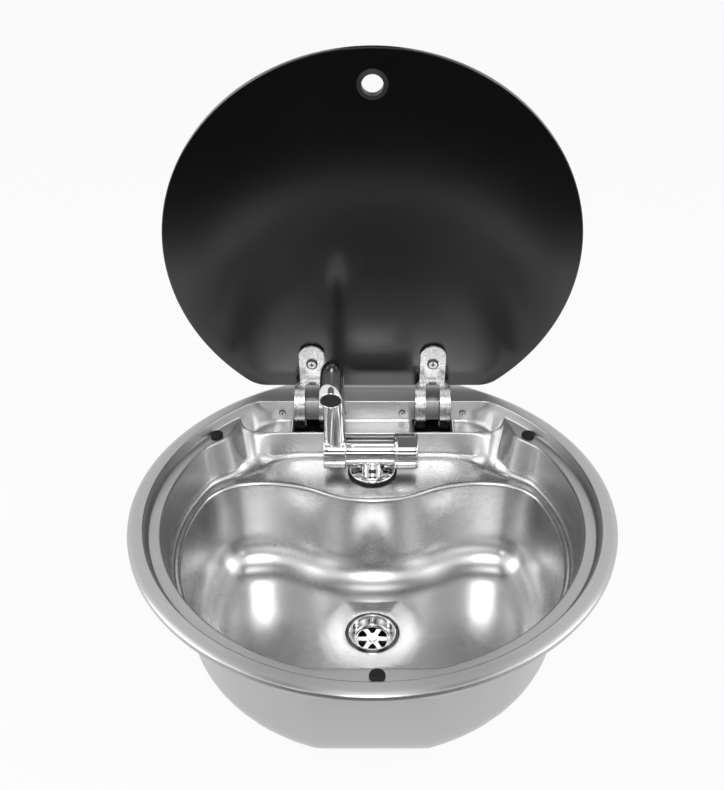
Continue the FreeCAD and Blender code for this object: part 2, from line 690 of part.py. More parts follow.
def hinge_arm(side):
    # A chromed strap: a tab under the glass, a step down, then two hooked legs to the pin.
    mid_x = side * HINGE_X
    half = ARM_WIDTH / 2
    tab_half = TAB_WIDTH / 2
    fold_y = ARM_FOLD_Y
    tab_low = TAB_Z - ARM_T
    round_y = fold_y - TAB_LENGTH + tab_half
    tab_end = Vector(mid_x + tab_half, fold_y + ARM_T, TAB_Z)
    tab = block(Vector(mid_x - tab_half, round_y, tab_low), tab_end)
    tab = tab.fuse(cylinder(tab_half, ARM_T, Vector(mid_x, round_y, tab_low)))
    top = arm_point(ARM_TOP_ANGLE, ARM_TOP_REACH)
    middle = arm_point(ARM_MID_ANGLE, ARM_MID_REACH)
    end = arm_point(ARM_END_ANGLE, ARM_END_REACH)
    step = [(-tab_half, TAB_Z), (tab_half, TAB_Z), (half, top.z), (-half, top.z)]
    points = [Vector(mid_x + x, fold_y, z) for x, z in step]
    shelf = Part.Face(Part.makePolygon(points + points[:1])).extrude(Y_AXIS * ARM_T)
    centre = Part.Arc(top, middle, end).toShape().Curve.Center

    def strip_arc(offset):
        moved = []
        for point in (top, middle, end):
            way = point - centre
            moved.append(centre + way * ((way.Length + offset) / way.Length))
        return moved

    outer = strip_arc(ARM_T / 2)
    inner = strip_arc(-ARM_T / 2)
    edges = [Part.Arc(*outer).toShape(), Part.LineSegment(outer[2], inner[2]).toShape()]
    edges += [Part.Arc(*inner[::-1]).toShape(), Part.LineSegment(inner[0], outer[0]).toShape()]
    legs = Part.Face(Part.Wire(edges)).extrude(X_AXIS * ARM_WIDTH)
    legs.translate(Vector(mid_x - half, 0, 0))
    joint = cylinder(ARM_T / 2, ARM_WIDTH, Vector(mid_x - half, top.y, top.z), X_AXIS)
    low = Vector(mid_x - half, PIVOT.y - ARM_T / 2, PIVOT.z)
    high = Vector(mid_x + half, PIVOT.y + ARM_T / 2, PIVOT.z + ARM_END_REACH + ARM_T / 2)
    link = block(low, high).rotate(PIVOT, X_AXIS, ARM_END_ANGLE)
    boss = cylinder(BOSS_R, ARM_WIDTH, Vector(mid_x - half, PIVOT.y, PIVOT.z), X_AXIS)
    arm = tab.fuse([shelf, legs, joint, link, boss])
    notch_half = ARM_NOTCH / 2
    arch_z = tab_low - ARCH_DROP
    notch_low = Vector(mid_x - notch_half, fold_y - ARM_T, PIVOT.z - FAR)
    notch_high = Vector(mid_x + notch_half, FAR, arch_z)
    arch = cylinder(notch_half, FAR, Vector(mid_x, fold_y - ARM_T, arch_z), Y_AXIS)
    bore = cylinder(PIN_R + PIN_FIT, ARM_WIDTH, Vector(mid_x - half, PIVOT.y, PIVOT.z), X_AXIS)
    screw = cylinder(LID_SCREW_R + HOLE_FIT, ARM_T, Vector(mid_x, LID_SCREW_Y, tab_low))
    return opened(arm.cut([block(notch_low, notch_high), arch, bore, screw]).removeSplitter())


def hinge_pad(side):
    # A thin dark gasket between the strap's tab and the glass, wider at the fold.
    mid_x = side * HINGE_X
    half = TAB_WIDTH / 2 + PAD_MARGIN
    round_y = ARM_FOLD_Y - TAB_LENGTH + TAB_WIDTH / 2
    foot_half = ARM_WIDTH / 2 - PAD_MARGIN
    flare_y = ARM_FOLD_Y - PAD_FLARE
    outline = [(-half, round_y), (half, round_y), (half, flare_y), (foot_half, ARM_FOLD_Y)]
    outline += [(foot_half, ARM_FOLD_Y + ARM_T), (-foot_half, ARM_FOLD_Y + ARM_T)]
    outline += [(-foot_half, ARM_FOLD_Y), (-half, flare_y)]
    points = [Vector(mid_x + x, y, TAB_Z) for x, y in outline]
    pad = Part.Face(Part.makePolygon(points + points[:1])).extrude(Z_AXIS * PAD_T)
    pad = pad.fuse(cylinder(half, PAD_T, Vector(mid_x, round_y, TAB_Z))).removeSplitter()
    hole = cylinder(LID_SCREW_R + HOLE_FIT, PAD_T, Vector(mid_x, LID_SCREW_Y, TAB_Z))
    return opened(pad.cut(hole))


def lid_screws():
    screws = []
    for side in SIDES.values():
        face = Vector(side * HINGE_X, LID_SCREW_Y, TAB_Z - ARM_T)
        head = domed(LID_SCREW_HEAD_R, LID_SCREW_HEAD, face, -Z_AXIS, LID_SCREW_HEAD / 2)
        length = ARM_T + PAD_T + LID_T + LID_CAP_T - LID_CAP_SKIN - HOLE_FIT
        screw = head.fuse(cylinder(LID_SCREW_R, length, face)).removeSplitter()
        low = face - Z_AXIS * LID_SCREW_HEAD
        recess = cross_recess(low, -Z_AXIS, X_AXIS, LID_SCREW_HEAD_R, LID_SCREW_HEAD / 2)
        screws.append(opened(screw.cut(recess)))
    return Part.makeCompound(screws)


def lid_sleeves():
    sleeves = []
    for side in SIDES.values():
        foot = Vector(side * HINGE_X, LID_SCREW_Y, LID_Z)
        sleeves.append(opened(tube(sleeve_r(), LID_SCREW_R + HOLE_FIT, LID_T, foot)))
    return Part.makeCompound(sleeves)


def lid_caps():
    # Domed nuts on the outer face of the glass.
    caps = []
    for side in SIDES.values():
        foot = Vector(side * HINGE_X, LID_SCREW_Y, LID_Z + LID_T)
        cap = domed(LID_CAP_R, LID_CAP_T, foot, Z_AXIS, LID_CAP_T / 2)
        hole = cylinder(LID_SCREW_R + THREAD_FIT, LID_CAP_T - LID_CAP_SKIN, foot)
        caps.append(opened(cap.cut(hole)))
    return Part.makeCompound(caps)


def hinge_housing(side):
    # A moulded box under the slot that carries the pin, screwed behind the rear wall.
    mid_x = side * HINGE_X
    inner_half = ARM_WIDTH / 2 + HOUSING_SIDE_GAP
    outer_half = inner_half + HOUSING_WALL
    sweep = ARM_MID_REACH + ARM_T + HOUSING_SWEEP_GAP
    wall_y = HINGE_WALL_Y + SHEET + HOUSING_SEAT
    front_y = LEDGE_Y + SHEET + HOUSING_SEAT
    ledge_z = LEDGE_Z - SHEET - HOUSING_SEAT
    top_z = RIM_HEIGHT - SHEET - HOUSING_TOP_GAP
    floor_z = PIVOT.z - sweep
    rear_y = PIVOT.y + sweep
    end_r = CUTOUT_R - HOUSING_SEAT

    def box(half, low_y, high_y, low_z, high_z):
        return block(Vector(mid_x - half, low_y, low_z), Vector(mid_x + half, high_y, high_z))

    def round_end(radius):
        return cylinder(radius, FAR, Vector(0, 0, -FAR / 2))

    lower = box(outer_half, front_y, rear_y, floor_z - HOUSING_WALL, ledge_z)
    upper = box(outer_half, wall_y, rear_y, ledge_z, top_z)
    outer = lower.fuse(upper).common(round_end(end_r))
    hollow = box(inner_half, front_y + HOUSING_WALL, FAR, floor_z, ledge_z + HOUSING_WALL_LIFT)
    behind = box(inner_half, wall_y + HOUSING_WALL, FAR, floor_z, top_z - HOUSING_WALL)
    hollow = hollow.fuse(behind).common(round_end(end_r - HOUSING_WALL / 2))
    screw_z = RIM_HEIGHT - HINGE_SCREW_DROP
    flange_half = HINGE_SCREW_SPACING / 2 + FLANGE_BOSS_R
    flange_low = screw_z - FLANGE_HEIGHT / 2
    bosses = [box(flange_half, wall_y, wall_y + FLANGE_T, flange_low, flange_low + FLANGE_HEIGHT)]
    cuts = [hollow]
    hole_depth = HINGE_SCREW_LENGTH - SHEET
    for end in (-1, 1):
        place = Vector(mid_x + end * HINGE_SCREW_SPACING / 2, wall_y, screw_z)
        bosses.append(cylinder(FLANGE_BOSS_R, hole_depth + FLANGE_T, place, Y_AXIS))
        cuts.append(cylinder(HINGE_SCREW_R + THREAD_FIT, hole_depth, place, Y_AXIS))
    pin_start = Vector(mid_x - outer_half, PIVOT.y, PIVOT.z)
    cuts.append(cylinder(PIN_R + THREAD_FIT, 2 * outer_half, pin_start, X_AXIS))
    return outer.fuse(bosses).cut(cuts).removeSplitter()


def hinge_pin(side):
    length = ARM_WIDTH + 2 * HOUSING_SIDE_GAP + 2 * HOUSING_WALL
    start = Vector(side * HINGE_X - length / 2, PIVOT.y, PIVOT.z)
    return cylinder(PIN_R, length, start, X_AXIS)


def hinge_screws():
    screws = []
    for place in hinge_screw_places():
        head = domed(HINGE_SCREW_HEAD_R, HINGE_SCREW_HEAD, place, -Y_AXIS, HINGE_SCREW_HEAD / 2)
        screw = head.fuse(cylinder(HINGE_SCREW_R, HINGE_SCREW_LENGTH, place, Y_AXIS)).removeSplitter()
        front = place - Y_AXIS * HINGE_SCREW_HEAD
        recess = cross_recess(front, -Y_AXIS, X_AXIS, HINGE_SCREW_HEAD_R, HINGE_SCREW_HEAD / 2)
        screws.append(screw.cut(recess))
    return Part.makeCompound(screws)


def tap_gasket():
    return tube(GASKET_R, SHANK_R + WASTE_FIT, GASKET_T, Vector(0, TAP_Y, SHELF_Z))


def tap_rose():
    foot = Vector(0, TAP_Y, SHELF_Z + GASKET_T)
    bore = NECK_R + HOLE_FIT
    profile = [(bore, 0), (ROSE_R, 0), (ROSE_R, ROSE_LIP), (ROSE_R - ROSE_LIP, 1.5 * ROSE_LIP)]
    profile += [(ROSE_TOP_R, ROSE_H), (bore, ROSE_H)]
    return turned(profile, foot)


def tap_body():
    # The casting: a neck on the gasket, a cross barrel, and an axle on its left for the spout.
    axis_point = Vector(0, TAP_Y, TAP_Z)
    barrel_start = axis_point - X_AXIS * BARREL_LEFT
    barrel = cylinder(BARREL_R, BARREL_LEFT + BARREL_RIGHT, barrel_start, X_AXIS)
    neck_z = SHELF_Z + GASKET_T
    neck = cylinder(NECK_R, TAP_Z - neck_z, Vector(0, TAP_Y, neck_z))
    axle_end = axis_point - X_AXIS * (BARREL_LEFT + axle_length())
    axle = cylinder(SPIGOT_AXLE_R, axle_length(), axle_end, X_AXIS)
    body = barrel.fuse([neck, axle])
    chamber_start = axis_point + X_AXIS * (BARREL_RIGHT - CARTRIDGE_LENGTH)
    chamber = cylinder(BARREL_R - BARREL_WALL, CARTRIDGE_LENGTH, chamber_start, X_AXIS)
    shank = cylinder(SHANK_R + THREAD_FIT, SHANK_THREAD, Vector(0, TAP_Y, neck_z))
    feed = cylinder(SHANK_BORE, TAP_Z - neck_z, Vector(0, TAP_Y, neck_z))
    screw_end = axle_end + X_AXIS * HUB_SCREW_GRIP
    way = cylinder(AXLE_BORE, axle_length() + BARREL_LEFT - HUB_SCREW_GRIP, screw_end, X_AXIS)
    screw = cylinder(HUB_SCREW_R + THREAD_FIT, HUB_SCREW_GRIP, axle_end, X_AXIS)
    port = cylinder(AXLE_PORT, SPIGOT_AXLE_R, Vector(hub_x(), TAP_Y, TAP_Z))
    grooves = []
    for x in ring_places():
        start = Vector(x, TAP_Y, TAP_Z)
        grooves.append(tube(SPIGOT_AXLE_R, SPIGOT_AXLE_R - RING_WIRE, RING_WIRE, start, X_AXIS))
    return body.cut([chamber, shank, feed, way, screw, port] + grooves)


def hub_left():
    return -BARREL_LEFT - HUB_GAP - HUB_LENGTH


def hub_x():
    return hub_left() + HUB_LENGTH / 2


def axle_length():
    return HUB_LENGTH - HUB_WALL


def ring_places():
    return [hub_x() + end * RING_REACH - RING_WIRE / 2 for end in (-1, 1)]


def spout_rings():
    # Square-section sealing rings in the axle's grooves.
    rings = []
    gap = AXLE_FIT / 2
    for x in ring_places():
        start = Vector(x + gap, TAP_Y, TAP_Z)
        bore = SPIGOT_AXLE_R - RING_WIRE + gap
        rings.append(tube(SPIGOT_AXLE_R, bore, RING_WIRE - 2 * gap, start, X_AXIS))
    return Part.makeCompound(rings)


def hub_screw():
    # Holds the hub on the axle: its head turns free in the hub's counterbore.
    head_end = Vector(hub_left() + HUB_WALL / 2, TAP_Y, TAP_Z)
    length = HUB_WALL / 2 + HUB_GAP + HUB_SCREW_GRIP
    shank = cylinder(HUB_SCREW_R, length, head_end, X_AXIS)
    head = cylinder(HUB_SCREW_HEAD_R, HUB_SCREW_HEAD, head_end, -X_AXIS)
    return head.fuse(shank).removeSplitter()


def spout_hub():
    start = Vector(hub_left(), TAP_Y, TAP_Z)
    hub = cylinder(HUB_R, HUB_LENGTH, start, X_AXIS)
    hub = hub.makeFillet(HUB_EDGE, [edge for edge in hub.Edges if edge.isClosed()])
    bore = cylinder(SPIGOT_AXLE_R + AXLE_FIT, HUB_LENGTH - HUB_WALL, start + X_AXIS * HUB_WALL, X_AXIS)
    screw = cylinder(HUB_SCREW_R + HUB_GAP, HUB_WALL, start, X_AXIS)
    counterbore = cylinder(HUB_CAP_R, HUB_WALL / 2 + HUB_GAP, start, X_AXIS)
    seat = cylinder(TUBE_R + AXLE_FIT, HUB_R, Vector(hub_x(), TAP_Y, TAP_Z + TUBE_SEAT))
    port = cylinder(AXLE_PORT, HUB_R, Vector(hub_x(), TAP_Y, TAP_Z))
    return hub.cut([bore, screw, counterbore, seat, port])


def hub_cap():
    return cylinder(HUB_CAP_R - AXLE_FIT, HUB_CAP_T, Vector(hub_left(), TAP_Y, TAP_Z), X_AXIS)


def spout_line():
    # The points where the spout's bend and its short end begin and stop.
    x = hub_x()
    turn = math.radians(TUBE_TURN)
    foot = Vector(x, TAP_Y, TAP_Z + TUBE_SEAT + AXLE_FIT)
    bend = Vector(x, TAP_Y, TAP_Z + TUBE_RISE)
    centre = bend - Y_AXIS * TUBE_BEND
    crown = centre + Vector(0, TUBE_BEND * math.cos(turn / 2), TUBE_BEND * math.sin(turn / 2))
    end = centre + Vector(0, TUBE_BEND * math.cos(turn), TUBE_BEND * math.sin(turn))
    way = Vector(0, -math.sin(turn), math.cos(turn))
    return foot, bend, crown, end, way


def swept(radius):
    foot, bend, crown, end, way = spout_line()
    edges = [Part.LineSegment(foot, bend).toShape(), Part.Arc(bend, crown, end).toShape()]
    edges.append(Part.LineSegment(end, end + way * TUBE_END).toShape())
    section = Part.Wire(Part.makeCircle(radius, foot, Z_AXIS))
    return Part.Wire(edges).makePipeShell([section], True, False)


def spout_tube():
    return swept(TUBE_R).cut(swept(TUBE_R - TUBE_WALL))


def spout_outlet():
    # The dark insert just inside the spout's mouth.
    foot, bend, crown, end, way = spout_line()
    mouth = end + way * (TUBE_END - OUTLET_RECESS)
    insert = cylinder(TUBE_R - TUBE_WALL - AXLE_FIT, OUTLET_T, mouth - way * OUTLET_T, way)
    jet = cylinder(TUBE_R / 2, OUTLET_T / 2, mouth - way * OUTLET_T, way)
    return insert.cut(jet)


def valve_cartridge():
    start = Vector(BARREL_RIGHT - CARTRIDGE_LENGTH + AXLE_FIT, TAP_Y, TAP_Z)
    length = CARTRIDGE_LENGTH - AXLE_FIT
    body = cylinder(BARREL_R - BARREL_WALL - THREAD_FIT, length, start, X_AXIS)
    return body.cut(cylinder(SPINDLE_R + SPINDLE_FIT, length, start, X_AXIS))


def knob_left():
    return BARREL_RIGHT + KNOB_GAP


def valve_spindle():
    start = Vector(BARREL_RIGHT - SPINDLE_IN, TAP_Y, TAP_Z)
    length = SPINDLE_IN + KNOB_GAP + KNOB_LENGTH - KNOB_FACE
    hole_x = start.x + length - KNOB_SCREW_LENGTH
    hole_start = Vector(hole_x, TAP_Y, TAP_Z)
    hole = cylinder(KNOB_SCREW_R + THREAD_FIT, KNOB_SCREW_LENGTH, hole_start, X_AXIS)
    return cylinder(SPINDLE_R, length, start, X_AXIS).cut(hole)


def tap_knob():
    start = Vector(knob_left(), TAP_Y, TAP_Z)
    knob = domed(KNOB_R, KNOB_LENGTH, start, X_AXIS, KNOB_EDGE)
    bore = cylinder(SPINDLE_R + THREAD_FIT, KNOB_LENGTH - KNOB_FACE, start, X_AXIS)
    through = cylinder(KNOB_SCREW_R + HOLE_FIT, KNOB_LENGTH, start, X_AXIS)
    head_start = Vector(knob_left() + KNOB_LENGTH - KNOB_SCREW_HEAD, TAP_Y, TAP_Z)
    recess = cylinder(KNOB_SCREW_HEAD_R + HOLE_FIT, KNOB_SCREW_HEAD, head_start, X_AXIS)
    return knob.cut([bore, through, recess])


def knob_screw():
    head_x = knob_left() + KNOB_LENGTH - KNOB_SCREW_HEAD
    head = cylinder(KNOB_SCREW_HEAD_R, KNOB_SCREW_HEAD, Vector(head_x, TAP_Y, TAP_Z), X_AXIS)
    length = KNOB_FACE - KNOB_SCREW_HEAD + KNOB_SCREW_LENGTH - HOLE_FIT
    shank = cylinder(KNOB_SCREW_R, length, Vector(head_x - length, TAP_Y, TAP_Z), X_AXIS)
    top = Vector(head_x + KNOB_SCREW_HEAD, TAP_Y, TAP_Z)
    recess = cross_recess(top, X_AXIS, Y_AXIS, KNOB_SCREW_HEAD_R, KNOB_SCREW_HEAD / 2)
    return head.fuse(shank).removeSplitter().cut(recess)


def shank_foot_z():
    return SHELF_Z - SHEET - SHANK_LENGTH


def tap_shank():
    top_z = SHELF_Z + GASKET_T + SHANK_THREAD - THREAD_FIT
    outer = cylinder(SHANK_R, top_z - shank_foot_z(), Vector(0, TAP_Y, shank_foot_z()))
    tail = cylinder(TAIL_R, TAIL_LENGTH, Vector(0, TAP_Y, shank_foot_z() - TAIL_LENGTH))
    length = top_z - shank_foot_z() + TAIL_LENGTH
    way = cylinder(SHANK_BORE - THREAD_FIT, length, Vector(0, TAP_Y, shank_foot_z() - TAIL_LENGTH))
    return outer.fuse(tail).removeSplitter().cut(way)


def tap_washer():
    return tube(WASHER_R, SHANK_R + HOLE_FIT, WASHER_T, Vector(0, TAP_Y, SHELF_Z - SHEET - WASHER_T))


def tap_nut():
    foot = Vector(0, TAP_Y, SHELF_Z - SHEET - WASHER_T - NUT_T)
    turns = [math.radians(angle) for angle in range(0, 360, 60)]
    corners = [foot + Vector(NUT_R * math.cos(turn), NUT_R * math.sin(turn), 0) for turn in turns]
    nut = Part.Face(Part.makePolygon(corners + corners[:1])).extrude(Z_AXIS * NUT_T)
    return nut.cut(cylinder(SHANK_R + THREAD_FIT, NUT_T, foot))


os.makedirs("parts", exist_ok=True)

save("sink_basin", sink_basin())
save("rim_seal", rim_seal())
for name, place in bumper_places().items():
    save(name, bumper(place))

save("strainer", strainer())
save("waste_screw", waste_screw())
save("waste_seal", waste_seal())
save("waste_body", waste_body())

save("lid_glass", lid_glass())
save("lid_grommet", lid_grommet())
save("lid_screws", lid_screws())
save("lid_sleeves", lid_sleeves())
save("lid_caps", lid_caps())
for name, side in SIDES.items():
    save("hinge_arm_" + name, hinge_arm(side))
    save("hinge_pad_" + name, hinge_pad(side))
    save("hinge_housing_" + name, hinge_housing(side))
    save("hinge_pin_" + name, hinge_pin(side))
save("hinge_screws", hinge_screws())

save("tap_gasket", tap_gasket())
save("tap_rose", tap_rose())
save("tap_body", tap_body())
save("tap_shank", tap_shank())
save("tap_washer", tap_washer())
save("tap_nut", tap_nut())
save("spout_rings", spout_rings())
save("hub_screw", hub_screw())
save("spout_hub", spout_hub())
save("hub_cap", hub_cap())
save("spout_tube", spout_tube())
save("spout_outlet", spout_outlet())
save("valve_cartridge", valve_cartridge())
save("valve_spindle", valve_spindle())
save("tap_knob", tap_knob())
save("knob_screw", knob_screw())
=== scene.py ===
import math

import bmesh
import bpy
import numpy as np
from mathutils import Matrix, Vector


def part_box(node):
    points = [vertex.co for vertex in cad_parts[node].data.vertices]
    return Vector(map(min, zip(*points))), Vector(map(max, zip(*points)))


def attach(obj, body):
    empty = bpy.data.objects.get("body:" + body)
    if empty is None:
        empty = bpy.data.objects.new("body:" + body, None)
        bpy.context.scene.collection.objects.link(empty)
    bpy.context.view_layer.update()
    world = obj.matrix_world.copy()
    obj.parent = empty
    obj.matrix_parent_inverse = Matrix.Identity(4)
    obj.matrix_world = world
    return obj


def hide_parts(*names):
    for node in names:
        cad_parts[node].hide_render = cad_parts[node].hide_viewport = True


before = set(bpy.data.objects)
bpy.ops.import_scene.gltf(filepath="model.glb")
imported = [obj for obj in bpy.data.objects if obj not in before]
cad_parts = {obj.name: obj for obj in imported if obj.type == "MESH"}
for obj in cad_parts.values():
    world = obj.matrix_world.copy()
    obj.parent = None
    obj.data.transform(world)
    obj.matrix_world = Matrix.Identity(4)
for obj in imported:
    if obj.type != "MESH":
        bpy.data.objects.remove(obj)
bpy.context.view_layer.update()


# Basin: one stainless sheet, deep drawn and then trimmed, with a rolled rim that hangs on the
# worktop. Round recess for the lid, ledge with two slots behind, shelf for the tap, and a
# heart-shaped bowl with a wide radius round its floor. Sizes are millimetres.
MM = 0.001
SHEET_T = 1.0
RIM_R = 210.0
RIM_TOP = 5.0
RIM_FOOT = 0.1
RIM_SIDE = 2.9
RIM_LIFTS = (RIM_FOOT, RIM_FOOT + 0.25, RIM_FOOT + 1.2, RIM_SIDE - 0.8)
ROLL = 5.5
RECESS_R = 196.7
RECESS_FOOT_R = 193.65
RECESS_CORNER = 22.0
HINGE_WALL_Y = 157.4
LAND_Z = -3.9
LAND_R = 182.65
LEDGE_Z = -19.0
LEDGE_Y = 136.6
SLOT_LIP = 1.6
SLOT_X = (39.4, 81.6)
SLOT_DEEP = 2.5
SHELF_Z = -45.0
SHELF_R = 178.25
SHELF_Y = 133.0
FLAT_INSET = 6.3
BOWL_R = 170.25
BOWL_DRAFT = 5.0
BOWL_FILLET = 36.0
FLOOR_Z = -140.0
BULGE = Vector((0.0, 173.0))
BULGE_FRONT_Y = 63.0
LOBE = Vector((104.0, -20.87))
LOBE_R = 110.0
LOBE_CORNER = 45.0
WASTE = Vector((0.0, -14.0))
DISH_R = 47.0
DISH_FOOT_R = 27.8
DISH_Z = -142.5
WASTE_HOLE_R = 21.7

# How far each corner of a section is rounded off, and how much more beside the ledge's ends.
RIM_EASE = 1.2
FOOT_EASE = 1.6
LEDGE_BACK_EASE = 4.5
LAND_BACK_EASE = 1.0
LAND_EDGE_EASE = 2.2
SHELF_EASE = 6.0
BOWL_EASE = 4.0
DISH_EASE = 6.0
DISH_FOOT_EASE = 3.0
FOOT_SOFT = 6.0
LEDGE_SOFT = 4.0
PILLAR_SOFT = 8.0


def curve(start, corner, end, t):
    # A point on the curve that rounds off a corner.
    return start * (1 - t) ** 2 + corner * (2 * t * (1 - t)) + end * t ** 2


MOST_OF_RUN = 0.48


def eased(corners, steps):
    # A line through (point, reach) corners, each rounded off from that reach before it to that after.
    line = []
    for i, (here, reach) in enumerate(corners):
        if reach == 0 or i == 0 or i == len(corners) - 1:
            line.append(here)
            continue
        back = corners[i - 1][0] - here
        on = corners[i + 1][0] - here
        start = here + back * min(reach / back.length, MOST_OF_RUN)
        end = here + on * min(reach / on.length, MOST_OF_RUN)
        line += [curve(start, here, end, j / steps) for j in range(steps + 1)]
    return line


def arc(centre, radius, start, end, steps=120):
    # Points on a flat arc, from one bearing in degrees to another.
    turns = [math.radians(start + (end - start) * i / steps) for i in range(steps + 1)]
    return [Vector((centre[0] + radius * math.cos(t), centre[1] + radius * math.sin(t))) for t in turns]


# Half outlines run this far past the middle, so that the middle sections cross them too.
PAST = 1.0
LEAD_GAP = 3.5
LEAD_STEPS = 10


def recess_line(radius):
    # Half the outline of the lid recess, from the middle of its rear wall round to the front.
    y = HINGE_WALL_Y - RECESS_CORNER
    x = math.sqrt((radius - RECESS_CORNER) ** 2 - y ** 2)
    bearing = math.degrees(math.atan2(y, x))
    corner = arc((x, y), RECESS_CORNER, 90, bearing)
    return [Vector((-PAST, HINGE_WALL_Y))] + corner + arc((0, 0), radius, bearing, -90 - PAST, steps=300)


def front_line(radius, lead):
    # Half an outline from its (point, reach) corners behind to a circle with its front cut flat.
    flat_y = radius - FLAT_INSET
    flat = -math.degrees(math.asin(flat_y / radius))
    bearing = math.degrees(math.atan2(lead[-1][0].y, lead[-1][0].x))
    last = arc((0, 0), radius, bearing - LEAD_GAP, flat)
    line = eased([(p.to_3d(), reach) for p, reach in lead] + [(last[0].to_3d(), 0)], LEAD_STEPS)
    return [p.to_2d() for p in line] + last[1:] + [Vector((-PAST, -flat_y))]


def bowl_line(inset):
    # Half the bowl's outline at an inset from its edge: bulge behind, lobe, side and flat front.
    gap = LOBE.length
    near = BOWL_R - LOBE_CORNER
    far = LOBE_R - LOBE_CORNER
    along = (gap ** 2 + near ** 2 - far ** 2) / (2 * gap)
    across = math.sqrt(near ** 2 - along ** 2)
    way = LOBE.normalized()
    corner = way * along + Vector((-way.y, way.x)) * across
    to_lobe = LOBE - BULGE
    turn = math.degrees(math.atan2(to_lobe.y, to_lobe.x))
    lobe_end = math.degrees(math.atan2(corner.y - LOBE.y, corner.x - LOBE.x))
    side = math.degrees(math.atan2(corner.y, corner.x))
    radius = BOWL_R - inset
    flat_y = BOWL_R - FLAT_INSET - inset
    line = arc(BULGE, BULGE.y - BULGE_FRONT_Y + inset, -90 - PAST, turn)
    line += arc(LOBE, LOBE_R - inset, turn + 180, lobe_end)
    line += arc(corner, LOBE_CORNER - inset, lobe_end, side)
    line += arc((0, 0), radius, side, -math.degrees(math.asin(flat_y / radius)))
    return line + [Vector((-PAST, -flat_y))]


PARALLEL = 1e-12


def crossing(line, origin, way):
    # The farthest point where a straight way from an origin meets a line that isn't parallel to it.
    spots = np.array([p[:] for p in line]) - np.array(origin)
    a = spots[:-1]
    b = spots[1:]
    side_a = way.x * a[:, 1] - way.y * a[:, 0]
    side_b = way.x * b[:, 1] - way.y * b[:, 0]
    hit = (side_a * side_b <= 0) & (np.abs(side_a - side_b) > PARALLEL)
    share = side_a[hit] / (side_a[hit] - side_b[hit])
    met = a[hit] + (b[hit] - a[hit]) * share[:, None]
    reach = met @ np.array(way)
    return origin + way * float(reach.max())


rim_line = arc((0, 0), RIM_R, 90 + PAST, -90 - PAST, steps=400)
recess_top = recess_line(RECESS_R)
recess_foot = recess_line(RECESS_FOOT_R)
pocket_corners = [(Vector((-PAST, HINGE_WALL_Y, 0)), 0), (Vector((101.0, HINGE_WALL_Y, 0)), 12.0),
                  (Vector((119.5, 140.0, 0)), 9.0), (Vector((118.0, 128.0, 0)), 0)]
pocket = [p.to_2d() for p in eased(pocket_corners, LEAD_STEPS)]
leaf = [(Vector((130.5, 146.0)), 0), (Vector((132.6, 138.0)), 4.0), (Vector((139.0, 108.4)), 9.0),
        (Vector((156.8, 93.6)), 6.0)]
land_line = front_line(LAND_R, leaf)
shelf_rear = [(Vector((-PAST, SHELF_Y)), 0), (Vector((90.0, SHELF_Y)), 26.0),
              (Vector((122.0, 108.4)), 16.0), (Vector((154.6, 88.2)), 10.0)]
shelf_line = front_line(SHELF_R, shelf_rear)
bowl_edge = bowl_line(0.0)

# Rows down the bowl's drafted wall and round the radius at its foot, as (inset, height).
WALL_SHARES = (0.35, 0.7)
FILLET_STEPS = 12
wall_height = SHELF_Z - FLOOR_Z
fillet_sweep = math.pi - math.atan2(wall_height, BOWL_DRAFT)
fillet_reach = BOWL_FILLET / math.tan(fillet_sweep / 2)
bowl_rows = []
for share in WALL_SHARES:
    depth = share * (wall_height - fillet_reach)
    bowl_rows.append((BOWL_DRAFT * depth / wall_height, SHELF_Z - depth))
for i in range(FILLET_STEPS + 1):
    turn = math.pi / 2 - fillet_sweep + fillet_sweep * i / FILLET_STEPS
    inset = BOWL_DRAFT + fillet_reach - BOWL_FILLET * math.cos(turn)
    bowl_rows.append((inset, FLOOR_Z + BOWL_FILLET * (1 - math.sin(turn))))
bowl_lines = [(bowl_line(inset), z) for inset, z in bowl_rows]

# The sections stand side by side behind and in front, and fan out round a point at each side.
# Their bearings there are degrees from straight back: the ledge ends at one of them, and the
# land begins at another, in a tip like a leaf's.
FAN = Vector((100.0, 40.0))
REAR = -1.0
FRONT = 181.0
LEDGE_END = 10.8
LEAF_TIP = 17.85
LEAF_POINT = Vector((132.4, 139.0, LAND_Z))
TIP_MARGIN = 1.0
SOFT_FADE = 3.0
PILLAR_FADE = 14.0
REAR_X = (0, 6, 12, 18, 22, 24, 26, 28, 30, 32, 34, 36, SLOT_X[0], 44, 50, 56, 62, 68, 74, 78,
          SLOT_X[1], 85, 89, 93, 97)
FRONT_X = (92, 84, 76, 68, 60, 52, 46, 40, 32, 24, 16, 8, 0)
FAN_SPACING = ((20.0, 1.0), (75.0, 1.5), (180.5, 2.5))
stations = [(Vector((x, 0)), Vector((0, 1)), REAR) for x in REAR_X]
bearing = 0.0
for until, spacing in FAN_SPACING:
    while bearing < until:
        turn = math.radians(bearing)
        stations.append((FAN, Vector((math.sin(turn), math.cos(turn))), bearing))
        bearing += spacing
stations += [(Vector((x, 0)), Vector((0, -1)), FRONT) for x in FRONT_X]


def smooth(value, low, high):
    # A share from 0 to 1 that starts and ends gently.
    share = min(max((value - low) / (high - low), 0.0), 1.0)
    return share * share * (3 - 2 * share)


def lifted(point, z):
    # A point of an outline, at a height.
    return Vector((point.x, point.y, z))


ROLL_STEPS = 9
CORNER_STEPS = 6
DISH_STEPS = 5
DISH_ROOM = 1.0
LOW_SHARE = 0.15


